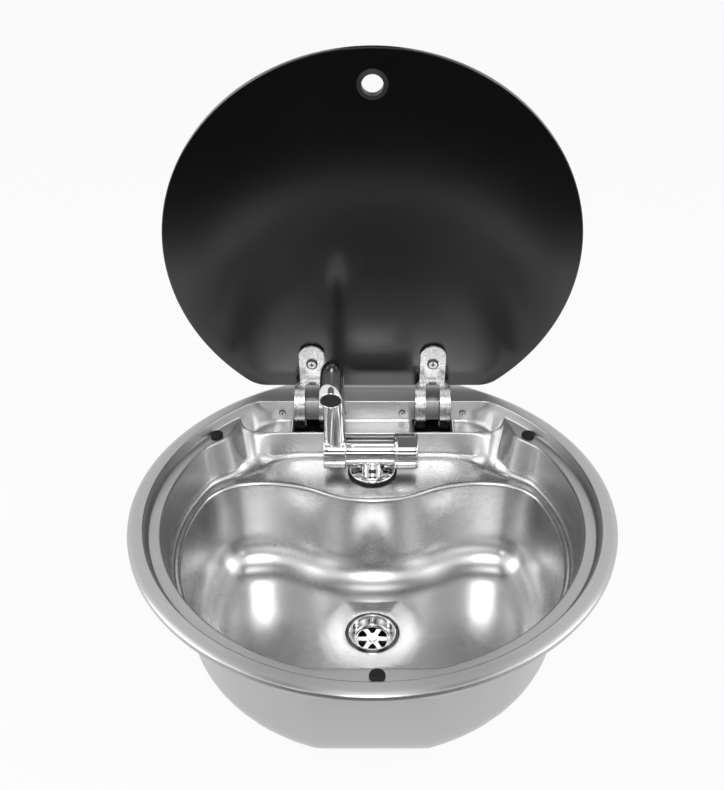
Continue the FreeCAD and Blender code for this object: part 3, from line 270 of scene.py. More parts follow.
def section(origin, way, bearing):
    # One section of the sheet, from the rim's lower edge in to the waste hole.
    def at(line, z):
        return lifted(crossing(line, origin, way), z)

    def ledge_edge():
        return lifted(origin + way * ((LEDGE_Y - origin.y) / way.y), LEDGE_Z)

    outer = at(rim_line, 0)
    inner = at(recess_top, RIM_TOP)
    foot = at(recess_foot, LAND_Z)
    # Corners are softest where the ledge ends, and on the pillar between ledge and land.
    beside = smooth(bearing, REAR, LEDGE_END)
    soft = beside * (1 - smooth(bearing, LEAF_TIP - SOFT_FADE, LEAF_TIP + SOFT_FADE))
    pillar = beside * (1 - smooth(bearing, LEAF_TIP, LEAF_TIP + PILLAR_FADE))
    if bearing <= LEDGE_END:
        back = at(pocket, LEDGE_Z)
        front = ledge_edge()
        back_ease = LEDGE_BACK_EASE + LEDGE_SOFT * soft
        front_ease = SLOT_LIP + LEDGE_SOFT * soft
    elif bearing < LEAF_TIP:
        # The sheet climbs from the ledge's end to the tip of the land.
        share = smooth(bearing, LEDGE_END, LEAF_TIP)
        tip = at(land_line, LAND_Z) if bearing > LEAF_TIP - TIP_MARGIN else LEAF_POINT
        front = ledge_edge().lerp(tip, share)
        low = front + (foot - front) * LOW_SHARE
        back = lifted(low, LEDGE_Z).lerp(tip.lerp(foot, 0.5), share)
        back_ease = LEDGE_BACK_EASE + LEDGE_SOFT * soft
        front_ease = LAND_EDGE_EASE + LEDGE_SOFT * soft
    else:
        front = at(land_line, LAND_Z)
        back = front.lerp(foot, 0.5)
        back_ease = LAND_BACK_EASE
        front_ease = LAND_EDGE_EASE
    inward = (inner - outer).to_2d().normalized().to_3d()
    roll = [lifted(outer, lift) for lift in RIM_LIFTS]
    for i in range(ROLL_STEPS + 1):
        turn = math.pi / 2 * i / ROLL_STEPS
        lift = RIM_SIDE + (RIM_TOP - RIM_SIDE) * math.sin(turn)
        roll.append(lifted(outer + inward * ROLL * (1 - math.cos(turn)), lift))
    walls = [at(line, z) for line, z in bowl_lines]
    corners = [
        (roll[-1], 0),
        (inner, RIM_EASE),
        (foot, FOOT_EASE + FOOT_SOFT * soft),
        (back, back_ease),
        (front, front_ease),
        (at(shelf_line, SHELF_Z), SHELF_EASE + PILLAR_SOFT * pillar),
        (at(bowl_edge, SHELF_Z), BOWL_EASE),
        (walls[0], 0),
    ]
    from_waste = walls[-1].to_2d() - WASTE
    toward = from_waste.normalized()
    dish_r = min(DISH_R, from_waste.length - DISH_ROOM)
    dish = [
        (walls[-1], 0),
        (lifted(WASTE + toward * dish_r, FLOOR_Z), DISH_EASE),
        (lifted(WASTE + toward * DISH_FOOT_R, DISH_Z), DISH_FOOT_EASE),
        (lifted(WASTE + toward * WASTE_HOLE_R, DISH_Z), 0),
    ]
    return roll[:-1] + eased(corners, CORNER_STEPS) + walls[1:] + eased(dish, DISH_STEPS)[1:]


SLACK = 0.01


def in_slot(corners):
    # Whether a face lies in one of the two slots that are punched through the ledge.
    return all(SLOT_X[0] - SLACK <= abs(p.x) <= SLOT_X[1] + SLACK
               and p.y >= LEDGE_Y + SLOT_LIP - SLACK
               and abs(p.z - LEDGE_Z) < SLOT_DEEP for p in corners)


right_half = [section(*station) for station in stations]
left_half = [[Vector((-p.x, p.y, p.z)) for p in line] for line in right_half[-2:0:-1]]
basin_ring = right_half + left_half
basin_points = [p for line in basin_ring for p in line]
rows = len(basin_ring[0])
basin_faces = []
for i in range(len(basin_ring)):
    after = (i + 1) % len(basin_ring)
    for j in range(rows - 1):
        face = (i * rows + j, i * rows + j + 1, after * rows + j + 1, after * rows + j)
        if not in_slot([basin_points[k] for k in face]):
            basin_faces.append(face)


class Wire:
    # One output of a finish's nodes, so that shader sums read as plain sums.
    def __init__(self, finish, socket):
        self.finish = finish
        self.socket = socket

    def __add__(self, other):
        return self.finish.maths("ADD", self, other)

    def __radd__(self, other):
        return self.finish.maths("ADD", other, self)

    def __sub__(self, other):
        return self.finish.maths("SUBTRACT", self, other)

    def __rsub__(self, other):
        return self.finish.maths("SUBTRACT", other, self)

    def __mul__(self, other):
        return self.finish.maths("MULTIPLY", self, other)

    def __rmul__(self, other):
        return self.finish.maths("MULTIPLY", other, self)

    def __truediv__(self, other):
        return self.finish.maths("DIVIDE", self, other)

    def __rtruediv__(self, other):
        return self.finish.maths("DIVIDE", other, self)


class Finish:
    # A procedural material, or the sky of the studio, built from nodes one after the other.
    def __init__(self, name, kind="Material"):
        self.owner = bpy.data.worlds.new(name) if kind == "World" else bpy.data.materials.new(name)
        self.owner.use_nodes = True
        self.tree = self.owner.node_tree
        self.tree.nodes.clear()
        self.end = "ShaderNodeOutput" + kind

    def node(self, kind, settings=None, sockets=None, out=0):
        # Any node: its type, its settings, the values or links of its sockets, and the output used.
        made = self.tree.nodes.new(kind)
        for key, value in (settings or {}).items():
            setattr(made, key, value)
        for key, value in (sockets or {}).items():
            if isinstance(value, Wire):
                self.tree.links.new(value.socket, made.inputs[key])
            else:
                made.inputs[key].default_value = value
        return Wire(self, made.outputs[out]) if made.outputs else None

    def maths(self, operation, first, second=0.0, clamp=False):
        settings = {"operation": operation, "use_clamp": clamp}
        return self.node("ShaderNodeMath", settings, {0: first, 1: second})

    def absolute(self, value):
        return self.maths("ABSOLUTE", value)

    def reach(self, across, along):
        return self.maths("SQRT", across * across + along * along)

    def noise(self, place, scale, detail=2.0, rough=0.5):
        sockets = {"Vector": place, "Scale": scale, "Detail": detail, "Roughness": rough}
        return self.node("ShaderNodeTexNoise", {}, sockets)

    def spread(self, value, low, high, at_low=0.0, at_high=1.0):
        # Maps a value from one span to another, held inside the second.
        sockets = {0: value, 1: low, 2: high, 3: at_low, 4: at_high}
        return self.node("ShaderNodeMapRange", {"clamp": True}, sockets)

    def mix(self, share, first, second):
        settings = {"data_type": "RGBA"}
        return self.node("ShaderNodeMix", settings, {0: share, 6: first, 7: second}, out=2)

    def point(self):
        return self.node("ShaderNodeTexCoord", out="Object")

    def split(self, vector):
        made = self.node("ShaderNodeSeparateXYZ", {}, {0: vector})
        return [Wire(self, socket) for socket in made.socket.node.outputs]

    def joined(self, x, y, z):
        return self.node("ShaderNodeCombineXYZ", {}, {0: x, 1: y, 2: z})

    def bump(self, height, strength, depth):
        # The depth is millimetres.
        sockets = {"Height": height, "Strength": strength, "Distance": depth * MM}
        return self.node("ShaderNodeBump", {}, sockets)

    def blend(self, share, first, second):
        return self.node("ShaderNodeMixShader", {}, {0: share, 1: first, 2: second})

    def shader(self, sockets):
        return self.node("ShaderNodeBsdfPrincipled", {}, sockets)

    def shown(self, shader):
        # Ends the nodes in a shader and hands over what they are the finish of.
        self.node(self.end, {}, {"Surface": shader})
        return self.owner

    def surface(self, sockets):
        return self.shown(self.shader(sockets))


def grey(level):
    return (level, level, level, 1)


BRUSH_FULL_Z = -20.0
BRUSH_NONE_Z = -44.0
steel = Finish("pressed_steel")
place = steel.point()
x, y, z = steel.split(place)
# Brush strokes run round the rim: close together across it and down it, long the way round.
strokes_across = steel.reach(x, y) * 2600.0
strokes_round = steel.maths("ARCTAN2", y, x) * 5.0
strokes = steel.noise(steel.joined(strokes_across, strokes_round, z * 900.0), 1.0)
grain = steel.noise(place, 1300.0, detail=3.0, rough=0.6)
cloud = steel.noise(place, 22.0)
brush = steel.spread(z, BRUSH_NONE_Z * MM, BRUSH_FULL_Z * MM)
rough = 0.24 + cloud * 0.05 + (grain - 0.5) * 0.06
relief = steel.bump(strokes * brush + grain * (1.0 - brush), strength=0.10, depth=0.14)
bowl_shade = steel.shader({
    "Base Color": steel.mix(cloud, (0.58, 0.58, 0.577, 1), grey(0.64)),
    "Metallic": 1.0,
    "Roughness": rough,
    "Normal": relief,
})
rim_shade = steel.shader({
    "Base Color": steel.mix(strokes, (0.46, 0.46, 0.458, 1), grey(0.58)),
    "Metallic": 1.0,
    "Roughness": rough + 0.07,
    "Normal": relief,
    "Anisotropic": 0.8,
    "Anisotropic Rotation": 0.25,
})
pressed_steel = steel.shown(steel.blend(brush, bowl_shade, rim_shade))

# The underside keeps the mill's finish, with faint lines where the press drew the walls down.
mill = Finish("mill_steel")
place = mill.point()
x, y, z = mill.split(place)
stain = mill.noise(place, 9.0, detail=3.0)
pull = mill.noise(mill.joined(x * 700.0, y * 700.0, z * 30.0), 1.0)
mill_steel = mill.surface({
    "Base Color": mill.mix(stain, grey(0.43), grey(0.52)),
    "Metallic": 1.0,
    "Roughness": 0.24 + stain * 0.06 + pull * 0.05,
    "Normal": mill.bump(pull, strength=0.06, depth=0.1),
})


def piece(name, points, faces, finish, body, slot, replaced):
    # A mesh from points in millimetres, riding on a body in place of the nodes it shows.
    mesh = bpy.data.meshes.new(name)
    mesh.from_pydata([Vector(p) * MM for p in points], [], faces)
    mesh.validate()
    mesh.polygons.foreach_set("use_smooth", [True] * len(mesh.polygons))
    made = bpy.data.objects.new(name, mesh)
    bpy.context.scene.collection.objects.link(made)
    mesh.materials.append(finish)
    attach(made, body)
    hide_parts(*replaced)
    return made


def thickened(made, thickness, offset):
    # Gives a flat shape its thickness in millimetres, to the side that the offset says.
    sheet = made.modifiers.new("sheet", "SOLIDIFY")
    sheet.thickness = thickness * MM
    sheet.offset = offset
    return sheet


def evened(made):
    # Keeps flat faces flat to the light beside rounded edges.
    even = made.modifiers.new("even", "WEIGHTED_NORMAL")
    even.weight = 80


basin = piece("basin", basin_points, basin_faces, pressed_steel, "sink", "pressed_steel", ["sink_basin"])
basin.data.materials.append(mill_steel)
basin_sheet = thickened(basin, SHEET_T, offset=-1.0)
basin_sheet.material_offset = 1
evened(basin)


# Rim seal: a strip of black rubber under the rim, laid on the worktop round the cut-out.
# Bumpers: three push-in rubber buffers on the land, which the closed lid comes down on.
BUMPER_R = 6.1
BUMPER_H = 3.6
UP = (0, 0, 1)
rubber = Finish("black_rubber")
place = rubber.point()
grain = rubber.noise(place, 1400.0, detail=3.0)
dust = rubber.noise(place, 160.0, detail=3.0, rough=0.6)
black_rubber = rubber.surface({
    "Base Color": rubber.mix(rubber.spread(dust, 0.45, 0.8), grey(0.008), grey(0.022)),
    "Roughness": 0.5 + grain * 0.2,
    "Specular IOR Level": 0.22,
    "Normal": rubber.bump(grain, strength=0.3, depth=0.2),
})


def softened(made, width, angle):
    # Rounds off the edges that are sharper than an angle, over a width in millimetres.
    ease = made.modifiers.new("ease", "BEVEL")
    ease.width = width * MM
    ease.segments = 3
    ease.limit_method = "ANGLE"
    ease.angle_limit = math.radians(angle)
    evened(made)


WELD_GAP = 0.01
FLAT_ANGLE = 0.5
EDGE_ANGLE = 40


def dressed(names, finish, edge=0.0):
    # Gives the solids their finish and, with an edge in millimetres, eases their sharp edges.
    for name in names:
        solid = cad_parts[name]
        solid.data.materials.clear()
        solid.data.materials.append(finish)
        if edge:
            joined = solid.modifiers.new("joined", "WELD")
            joined.merge_threshold = WELD_GAP * MM
            flat = solid.modifiers.new("flat", "DECIMATE")
            flat.decimate_type = "DISSOLVE"
            flat.angle_limit = math.radians(FLAT_ANGLE)
            softened(solid, edge, EDGE_ANGLE)


def turned(profile, foot, axis, steps=96, ease=5):
    # Points and faces of a turned shape, from (radius, height, reach) corners along an axis.
    line = eased([(Vector((r, h, 0)), reach) for r, h, reach in profile], ease)
    axis = Vector(axis)
    side = axis.orthogonal().normalized()
    other = axis.cross(side)
    points = []
    for i in range(steps):
        turn = 2 * math.pi * i / steps
        out = side * math.cos(turn) + other * math.sin(turn)
        points += [Vector(foot) + out * p.x + axis * p.y for p in line]
    rows = len(line)
    faces = []
    for i in range(steps):
        after = (i + 1) % steps
        for j in range(rows - 1):
            faces.append((i * rows + j, after * rows + j, after * rows + j + 1, i * rows + j + 1))
    return points, faces


dressed(["rim_seal"], black_rubber)
bumper_profile = [(BUMPER_R - 0.5, 0.0, 0), (BUMPER_R, 0.6, 0.5), (BUMPER_R, BUMPER_H - 0.9, 1.6),
                  (3.9, BUMPER_H, 1.4), (2.7, BUMPER_H - 0.5, 0.4), (1.6, BUMPER_H - 0.15, 0.6),
                  (0.02, BUMPER_H - 0.1, 0)]
for name in ("bumper_front", "bumper_rear_left", "bumper_rear_right"):
    low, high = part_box(name)
    middle = (low + high) / 2 / MM
    shape = turned(bumper_profile, lifted(middle, LAND_Z), UP, steps=64)
    piece(name + "_head", *shape, black_rubber, "sink", "black_rubber", [name])


# Strainer: one polished steel pressing that lies in the dish, a lip, a cup and a six-spoked grid,
# held down by a cross-head screw into the waste body below, with a rubber seal between.
SEAT = lifted(WASTE, DISH_Z)
LIP_PAINTED_DARK_R = (21.8, 22.6)
LIP_PAINTED_DARK_H = 0.3
GRID_Z = -8.5
GRID_T = 1.0
GRID_R = 16.6
GRID_EDGE = 0.35
GRID_EDGE_ANGLE = 50
GRID_STEPS = 72
HUB_R = 6.6
SPOKE = 4.6
SPOKES = 6
HOLE_END_R = 14.4
HOLE_BOW = 0.5
HOLE_STEPS = 4
polish = Finish("polished_steel")
place = polish.point()
smear = polish.noise(place, 90.0, detail=3.0)
x, y, z = polish.split(place)
from_middle = polish.reach(x, y - WASTE.y * MM)
# The lip's outer slope has a painted dark reflection of the dish's corner, darkened in its colour.
lip_painted_dark = polish.spread(from_middle, LIP_PAINTED_DARK_R[0] * MM, LIP_PAINTED_DARK_R[1] * MM)
lip_painted_dark = lip_painted_dark * polish.spread(z, DISH_Z * MM, (DISH_Z + LIP_PAINTED_DARK_H) * MM)
tone = polish.mix(smear, grey(0.60), grey(0.68))
polished_steel = polish.surface({
    "Base Color": polish.mix(lip_painted_dark, tone, grey(0.10)),
    "Metallic": 1.0,
    "Roughness": 0.10 + smear * 0.08,
})


def together(*shapes):
    # Several (points, faces) shapes as one.
    points = []
    faces = []
    for more_points, more_faces in shapes:
        start = len(points)
        points += more_points
        faces += [tuple(start + k for k in face) for face in more_faces]
    return points, faces


def outline_faces(outline, holes, z):
    # Triangles of a flat plate with holes, at one height.
    flat = bmesh.new()
    edges = []
    for loop in [outline] + holes:
        corners = [flat.verts.new(lifted(p, z)) for p in loop]
        edges += [flat.edges.new((corners[k - 1], corners[k])) for k in range(len(corners))]
    bmesh.ops.triangle_fill(flat, use_beauty=True, edges=edges, normal=UP)
    flat.verts.index_update()
    points = [v.co.copy() for v in flat.verts]
    faces = [tuple(v.index for v in face.verts) for face in flat.faces]
    flat.free()
    return points, faces


def closed(corners, steps):
    # A closed outline through (point, reach) corners, each one rounded off.
    return eased([corners[-1]] + corners + [corners[0]], steps)[1:-1]


def round_middle(radius, turn):
    # A point of the grid, seen from above, from the middle of the strainer.
    return Vector((radius * math.cos(turn), radius * math.sin(turn), 0))


lip = [(20.4, 0.9, 0), (20.9, 1.5, 0.4), (21.6, 1.2, 0.3), (22.6, 1.6, 0.5), (25.1, 0.6, 0.8),
       (25.8, 0.02, 0)]
cup = [(20.4, 0.9, 0), (19.9, -0.8, 0.8), (17.4, GRID_Z + 1.6, 1.2), (15.4, GRID_Z + GRID_T, 0)]
ring_shape = together(turned(lip[::-1], SEAT, UP), turned(cup[::-1], SEAT, UP))
piece("strainer_ring", *ring_shape, polished_steel, "sink", "polished_steel", ["strainer"])

grid_middle = lifted(SEAT, 0)
half_pitch = math.pi / SPOKES
hub_turn = half_pitch - math.asin(SPOKE / 2 / HUB_R)
end_turn = half_pitch - math.asin(SPOKE / 2 / HOLE_END_R)
hole = [(HUB_R, -hub_turn, 0.9), (HOLE_END_R, -end_turn, 1.8), (HOLE_END_R + HOLE_BOW, 0.0, 3.0),
        (HOLE_END_R, end_turn, 1.8), (HUB_R, hub_turn, 0.9)]
holes = []
for i in range(SPOKES):
    middle = math.radians((2 * i + 1) * 180 / SPOKES)
    corners = [(round_middle(r, middle + turn), reach) for r, turn, reach in hole]
    holes.append([p + grid_middle for p in closed(corners, HOLE_STEPS)])
grid_turns = [2 * math.pi * k / GRID_STEPS for k in range(GRID_STEPS)]
grid_edge = [grid_middle + round_middle(GRID_R, turn) for turn in grid_turns]
grid_shape = outline_faces(grid_edge, holes, SEAT.z + GRID_Z + GRID_T)
grid = piece("strainer_grid", *grid_shape, polished_steel, "sink", "polished_steel", ["strainer"])
thickened(grid, GRID_T, offset=-1.0)
softened(grid, GRID_EDGE, GRID_EDGE_ANGLE)
dressed(["waste_screw"], polished_steel, edge=0.2)
dressed(["waste_seal"], black_rubber)


# Waste body: a moulded plastic cup that the strainer's screw draws up against the seal under the
# floor. A web across it takes the screw, and the spigot below takes the waste hose.
moulding = Finish("dark_plastic")
place = moulding.point()
fine = moulding.noise(place, 900.0, detail=3.0)
dark_plastic = moulding.surface({
    "Base Color": moulding.mix(moulding.noise(place, 40.0), grey(0.012), (0.02, 0.02, 0.021, 1)),
    "Roughness": 0.38 + fine * 0.14,
    "Normal": moulding.bump(fine, strength=0.15, depth=0.2),
})
dressed(["waste_body"], dark_plastic, edge=0.4)


# Lid: one disc of toughened dark glass with a ground edge, a moulded ring in its finger hole, and
# a hole for each hinge screw, lined with a plastic sleeve.
glass = Finish("dark_glass")
place = glass.point()
film = glass.noise(place, 14.0, detail=3.0)
specks = glass.noise(place, 700.0)
dark_glass = glass.surface({
    "Base Color": glass.mix(film, (0.0030, 0.0030, 0.0032, 1), (0.0050, 0.0050, 0.0052, 1)),
    "Roughness": 0.17 + film * 0.05 + specks * 0.02,
    "IOR": 1.68,
})
dressed(["lid_glass"], dark_glass)
dressed(["lid_grommet", "lid_sleeves"], dark_plastic)


# Hinge straps: two chromed steel strips, each a tab on the glass, a step and two hooked legs with
# a notch between them. The legs go down through the slots in the ledge, and a boss at the end of
# each turns on the hinge's pin.
PIVOT = Vector((0.0, 172.1, -11.3))
LID_OPEN = math.radians(84.5)
HINGE_X = 60.5
SIDES = ((-1, "left"), (1, "right"))
ALONG = (1, 0, 0)
STRAP_T = 2.4
STRAP_EDGE = 0.9
STRAP_EDGE_ANGLE = 55
TAB_HALF = 12.7
TAB_Z = -2.7
TAB_TIP_Y = 101.2
TAB_TIP_HALF = 0.05
TAB_ROWS_Y = (120.0, 127.0, 134.0, 139.5)
FOLD_Y = 143.8
FOLD_EASE = 2.2
LEG_HALF = 17.5
# Points of the legs, as (angle, reach) round the pin.
LEG_TOP = (92.0, 28.3)
LEG_MIDDLE = (150.0, 24.8)
LEG_END = (214.5, 22.3)
LINK_SHARES = (0.85, 0.7, 0.5, 0.3)
NOTCH_HALF = 7.15
NOTCH_Z = -14.9
BOSS_R = 5.2
PIN_BORE = 2.6
TIP_STEPS = 16
FOLD_STEPS = 7
STEP_STEPS = 18
LEG_STEPS = 32
STRAP_COLUMNS = 5
strap = Finish("strap_chrome")
place = strap.point()
film = strap.noise(place, 260.0, detail=3.0, rough=0.65)
ripple = strap.noise(place, 420.0)
strap_chrome = strap.surface({
    "Base Color": strap.mix(strap.spread(film, 0.3, 0.7), grey(0.44), grey(0.62)),
    "Metallic": 1.0,
    "Roughness": 0.18 + film * 0.2,
    "Normal": strap.bump(ripple, strength=0.35, depth=0.4),
})


def reached(angle, reach):
    # A point round the pin with the lid closed, its angle from straight up towards the front.
    turn = math.radians(angle)
    return Vector((0, PIVOT.y - reach * math.sin(turn), PIVOT.z + reach * math.cos(turn)))


def opened(point):
    # From the closed lid's place to the open one.
    y = point.y - PIVOT.y
    z = point.z - PIVOT.z
    cos = math.cos(LID_OPEN)
    sin = math.sin(LID_OPEN)
    return Vector((point.x, PIVOT.y + y * cos + z * sin, PIVOT.z - y * sin + z * cos))


# The legs bend on the circle through three points.
leg_top = reached(*LEG_TOP)
leg_end = reached(*LEG_END)
to_middle = reached(*LEG_MIDDLE) - leg_top
to_end = leg_end - leg_top
cross = 2 * (to_middle.y * to_end.z - to_middle.z * to_end.y)
bend_y = leg_top.y + (to_end.z * to_middle.length_squared - to_middle.z * to_end.length_squared) / cross
bend_z = leg_top.z + (to_middle.y * to_end.length_squared - to_end.y * to_middle.length_squared) / cross
bend = Vector((0, bend_y, bend_z))
bend_r = (leg_top - bend).length
first_turn = math.atan2(leg_top.z - bend.z, leg_top.y - bend.y)
last_turn = math.atan2(leg_end.z - bend.z, leg_end.y - bend.y)
sweep = (last_turn - first_turn) % (2 * math.pi)

# Rows along a strap with the lid closed, as (y, z, half width): tip, tab, fold, step, legs, links.
strap_rows = []
for i in range(TIP_STEPS + 1):
    turn = math.pi / 2 * i / TIP_STEPS
    half = max(TAB_HALF * math.sin(turn), TAB_TIP_HALF)
    strap_rows.append((TAB_TIP_Y + TAB_HALF * (1 - math.cos(turn)), TAB_Z, half))
strap_rows += [(y, TAB_Z, TAB_HALF) for y in TAB_ROWS_Y]
step_z = TAB_Z - FOLD_EASE
fold = (Vector((FOLD_Y - FOLD_EASE, TAB_Z)), Vector((FOLD_Y, TAB_Z)), Vector((FOLD_Y, step_z)))
for i in range(1, FOLD_STEPS + 1):
    spot = curve(*fold, i / FOLD_STEPS)
    strap_rows.append((spot.x, spot.y, TAB_HALF))
for i in range(1, STEP_STEPS + 1):
    share = i / STEP_STEPS
    half = TAB_HALF + (LEG_HALF - TAB_HALF) * share
    strap_rows.append((FOLD_Y, step_z + (leg_top.z - step_z) * share, half))
for i in range(1, LEG_STEPS + 1):
    turn = first_turn + sweep * i / LEG_STEPS
    strap_rows.append((bend.y + bend_r * math.cos(turn), bend.z + bend_r * math.sin(turn), LEG_HALF))
for share in LINK_SHARES:
    link = PIVOT + (leg_end - PIVOT) * share
    strap_rows.append((link.y, link.z, LEG_HALF))
in_notch = False
strap_grid = []
for y, z, half in strap_rows:
    in_notch = in_notch or z <= NOTCH_Z
    if in_notch:
        inner = NOTCH_HALF
    elif z < NOTCH_Z + NOTCH_HALF:
        inner = math.sqrt(NOTCH_HALF ** 2 - (z - NOTCH_Z) ** 2)
    else:
        inner = 0.0
    columns = [inner + (half - inner) * k / STRAP_COLUMNS for k in range(STRAP_COLUMNS + 1)]
    strap_grid.append([(x, y, z) for x in columns])
boss_length = LEG_HALF - NOTCH_HALF
boss_profile = [(PIN_BORE, 0.0, 0), (BOSS_R, 0.0, 0.4), (BOSS_R, boss_length, 0.4),
                (PIN_BORE, boss_length, 0), (PIN_BORE, 0.0, 0)]
for side, name in SIDES:
    middle_x = side * HINGE_X
    strap_points = []
    strap_faces = []
    known = {}
    for way in (-1, 1):
        numbers = []
        for row in strap_grid:
            numbers.append([])
            for x, y, z in row:
                key = (round(way * x, 4), round(y, 4), round(z, 4))
                if key not in known:
                    known[key] = len(strap_points)
                    strap_points.append(opened(Vector((middle_x + way * x, y, z))))
                numbers[-1].append(known[key])
        for here, after in zip(numbers, numbers[1:]):
            for k in range(STRAP_COLUMNS):
                face = (here[k], after[k], after[k + 1], here[k + 1])
                strap_faces.append(face if way > 0 else face[::-1])
    strap_strip = piece("hinge_strap_" + name, strap_points, strap_faces, strap_chrome, "lid", "chrome",
                        ["hinge_arm_" + name])
    thickened(strap_strip, STRAP_T, offset=0.0)
    softened(strap_strip, STRAP_EDGE, STRAP_EDGE_ANGLE)
    bosses = [turned(boss_profile, (middle_x + x, PIVOT.y, PIVOT.z), ALONG, steps=48)
              for x in (-LEG_HALF, NOTCH_HALF)]
    piece("hinge_bosses_" + name, *together(*bosses), strap_chrome, "lid", "chrome", ["hinge_arm_" + name])


# Lid screws: a plated cross-head screw through each strap, pad and glass, into a domed chrome nut
# on the lid's outer face. The ring round a head and its cross are painted shade: darkened in the colour
# where their recesses would lie in shadow.
LID_SCREW = Vector((HINGE_X, 122.9, -3.9))
LID_SCREW_RING = (3.7, 4.3)
LID_CROSS_HALF = (0.6, 0.8)
LID_CROSS_END = (2.4, 2.7)
LID_SCREW_ABOVE = (30.0, 31.0)


def painted_head_shade(finish, across, up, ring, half, end):
    # Painted shade on a head: how dark it is painted by its edge and its cross, where recesses would lie
    # in shadow; each fades between two sizes in millimetres.
    reach = finish.reach(across, up)
    edge = finish.spread(reach, ring[0] * MM, ring[1] * MM)
    near = finish.maths("MINIMUM", finish.absolute(across), finish.absolute(up))
    arms = finish.spread(near, half[0] * MM, half[1] * MM, at_low=1.0, at_high=0.0)
    inside = finish.spread(reach, end[0] * MM, end[1] * MM, at_low=1.0, at_high=0.0)
    return finish.maths("MAXIMUM", edge, arms * inside)


screw_plating = Finish("screw_plating")
place = screw_plating.point()
x, _, z = screw_plating.split(place)
wear = screw_plating.noise(place, 800.0, detail=3.0, rough=0.7)
screw_at = opened(LID_SCREW) * MM
across = screw_plating.absolute(x) - screw_at.x
up = (z - screw_at.z) / math.sin(LID_OPEN)
above = screw_plating.spread(z, LID_SCREW_ABOVE[0] * MM, LID_SCREW_ABOVE[1] * MM)
# Painted shade: the ring and cross of each lid screw's head are darkened in its colour.
painted_shade = painted_head_shade(screw_plating, across, up, LID_SCREW_RING, LID_CROSS_HALF, LID_CROSS_END) * above
screw_chrome = screw_plating.surface({
    "Base Color": screw_plating.mix(painted_shade, grey(0.86), grey(0.08)),
    "Metallic": screw_plating.spread(wear, 0.3, 0.7, at_low=0.35, at_high=0.78),
    "Roughness": 0.14 + wear * 0.2,
    "Normal": screw_plating.bump(wear, strength=0.5, depth=0.5),
})
plating = Finish("chrome")
film = plating.noise(plating.point(), 60.0, detail=3.0)
chrome = plating.surface({
    "Base Color": plating.mix(film, (0.74, 0.745, 0.75, 1), grey(0.80)),
    "Metallic": 1.0,
    "Roughness": 0.035 + film * 0.05,
})
dressed(["lid_screws"], screw_chrome, edge=0.3)
dressed(["lid_caps"], chrome)


# Hinge pads: a thin black rubber pad between each strap and the glass, cut a little narrower than
# the tab and flared to the width of the legs at its foot.
PAD_HALF = 11.8
PAD_FOOT_HALF = 16.9
PAD_FLARE_Y = 133.6
PAD_T = 1.4
pad_foot = [(PAD_HALF, PAD_FLARE_Y), (PAD_FOOT_HALF, FOLD_Y), (-PAD_FOOT_HALF, FOLD_Y),
            (-PAD_HALF, PAD_FLARE_Y)]
for side, name in SIDES:
    middle_x = side * HINGE_X
    outline = arc((middle_x, TAB_TIP_Y + TAB_HALF), PAD_HALF, 180, 360, steps=24)
    outline += [Vector((middle_x + x, y)) for x, y in pad_foot]
    pad_points, pad_faces = outline_faces(outline, [], TAB_Z + STRAP_T / 2)
    pad = piece("hinge_gasket_" + name, [opened(p) for p in pad_points], pad_faces, black_rubber, "lid",
                "black_rubber", ["hinge_pad_" + name])
    thickened(pad, PAD_T, offset=1.0)


# Hinge housings: a moulded plastic box behind each slot, screwed to the hinge wall from the front
# by two small cross-head screws. A drawn steel pin across it carries the strap's bosses.
WALL_SCREW_X = 30.5
WALL_SCREW_Z = -9.0
WALL_SCREW_RING = (2.5, 3.0)
WALL_CROSS_HALF = (0.35, 0.55)
WALL_CROSS_END = (1.7, 2.0)
pins = Finish("pin_steel")
wear = pins.noise(pins.point(), 300.0, detail=3.0)
pin_steel = pins.surface({
    "Base Color": pins.mix(wear, grey(0.42), (0.55, 0.55, 0.54, 1)),
    "Metallic": 1.0,
    "Roughness": 0.28 + wear * 0.15,
})
# Wall screw heads get painted shade: a dark ring round each head and a dark cross, where their recesses
# would lie in shadow.
heads = Finish("wall_screw_steel")
place = heads.point()
x, _, z = heads.split(place)
wear = heads.noise(place, 800.0, detail=3.0, rough=0.7)
across = heads.absolute(heads.absolute(x) - HINGE_X * MM) - WALL_SCREW_X * MM
up = z - WALL_SCREW_Z * MM
# Painted shade: the ring and cross of each wall screw's head are darkened in its colour.
painted_shade = painted_head_shade(heads, across, up, WALL_SCREW_RING, WALL_CROSS_HALF, WALL_CROSS_END)
wall_screw_steel = heads.surface({
    "Base Color": heads.mix(painted_shade, grey(0.70), grey(0.06)),
    "Metallic": heads.spread(wear, 0.3, 0.7, at_low=0.5, at_high=0.9),
    "Roughness": 0.16 + wear * 0.2,
    "Normal": heads.bump(wear, strength=0.4, depth=0.4),
})
dressed(["hinge_housing_left", "hinge_housing_right"], dark_plastic, edge=0.5)
dressed(["hinge_pin_left", "hinge_pin_right"], pin_steel)
dressed(["hinge_screws"], wall_screw_steel, edge=0.25)


# Tap foot: a black rubber gasket on the shelf and a domed, chromed rose on it, both clamped under
# the neck of the tap.
TAP_Y = 107.5
TAP_Z = -19.5
GASKET_T = 2.5
gasket_foot = Vector((0, TAP_Y, SHELF_Z))
rose_foot = gasket_foot + Vector((0, 0, GASKET_T))
gasket_profile = [(12.5, 0.0, 0), (24.1, 0.0, 0.3), (24.3, 0.9, 0.6), (23.9, GASKET_T, 0.5),
                  (12.5, GASKET_T, 0)]
gasket_shape = turned(gasket_profile, gasket_foot, UP)
piece("tap_gasket_ring", *gasket_shape, black_rubber, "sink", "black_rubber", ["tap_gasket"])
rose_profile = [(22.2, 0.0, 0), (22.6, 0.5, 0.3), (22.4, 1.7, 0.8), (19.5, 3.1, 2.2), (14.8, 3.9, 1.8),
                (12.0, 4.0, 0)]
piece("tap_rose_dome", *turned(rose_profile, rose_foot, UP), chrome, "sink", "chrome", ["tap_rose"])


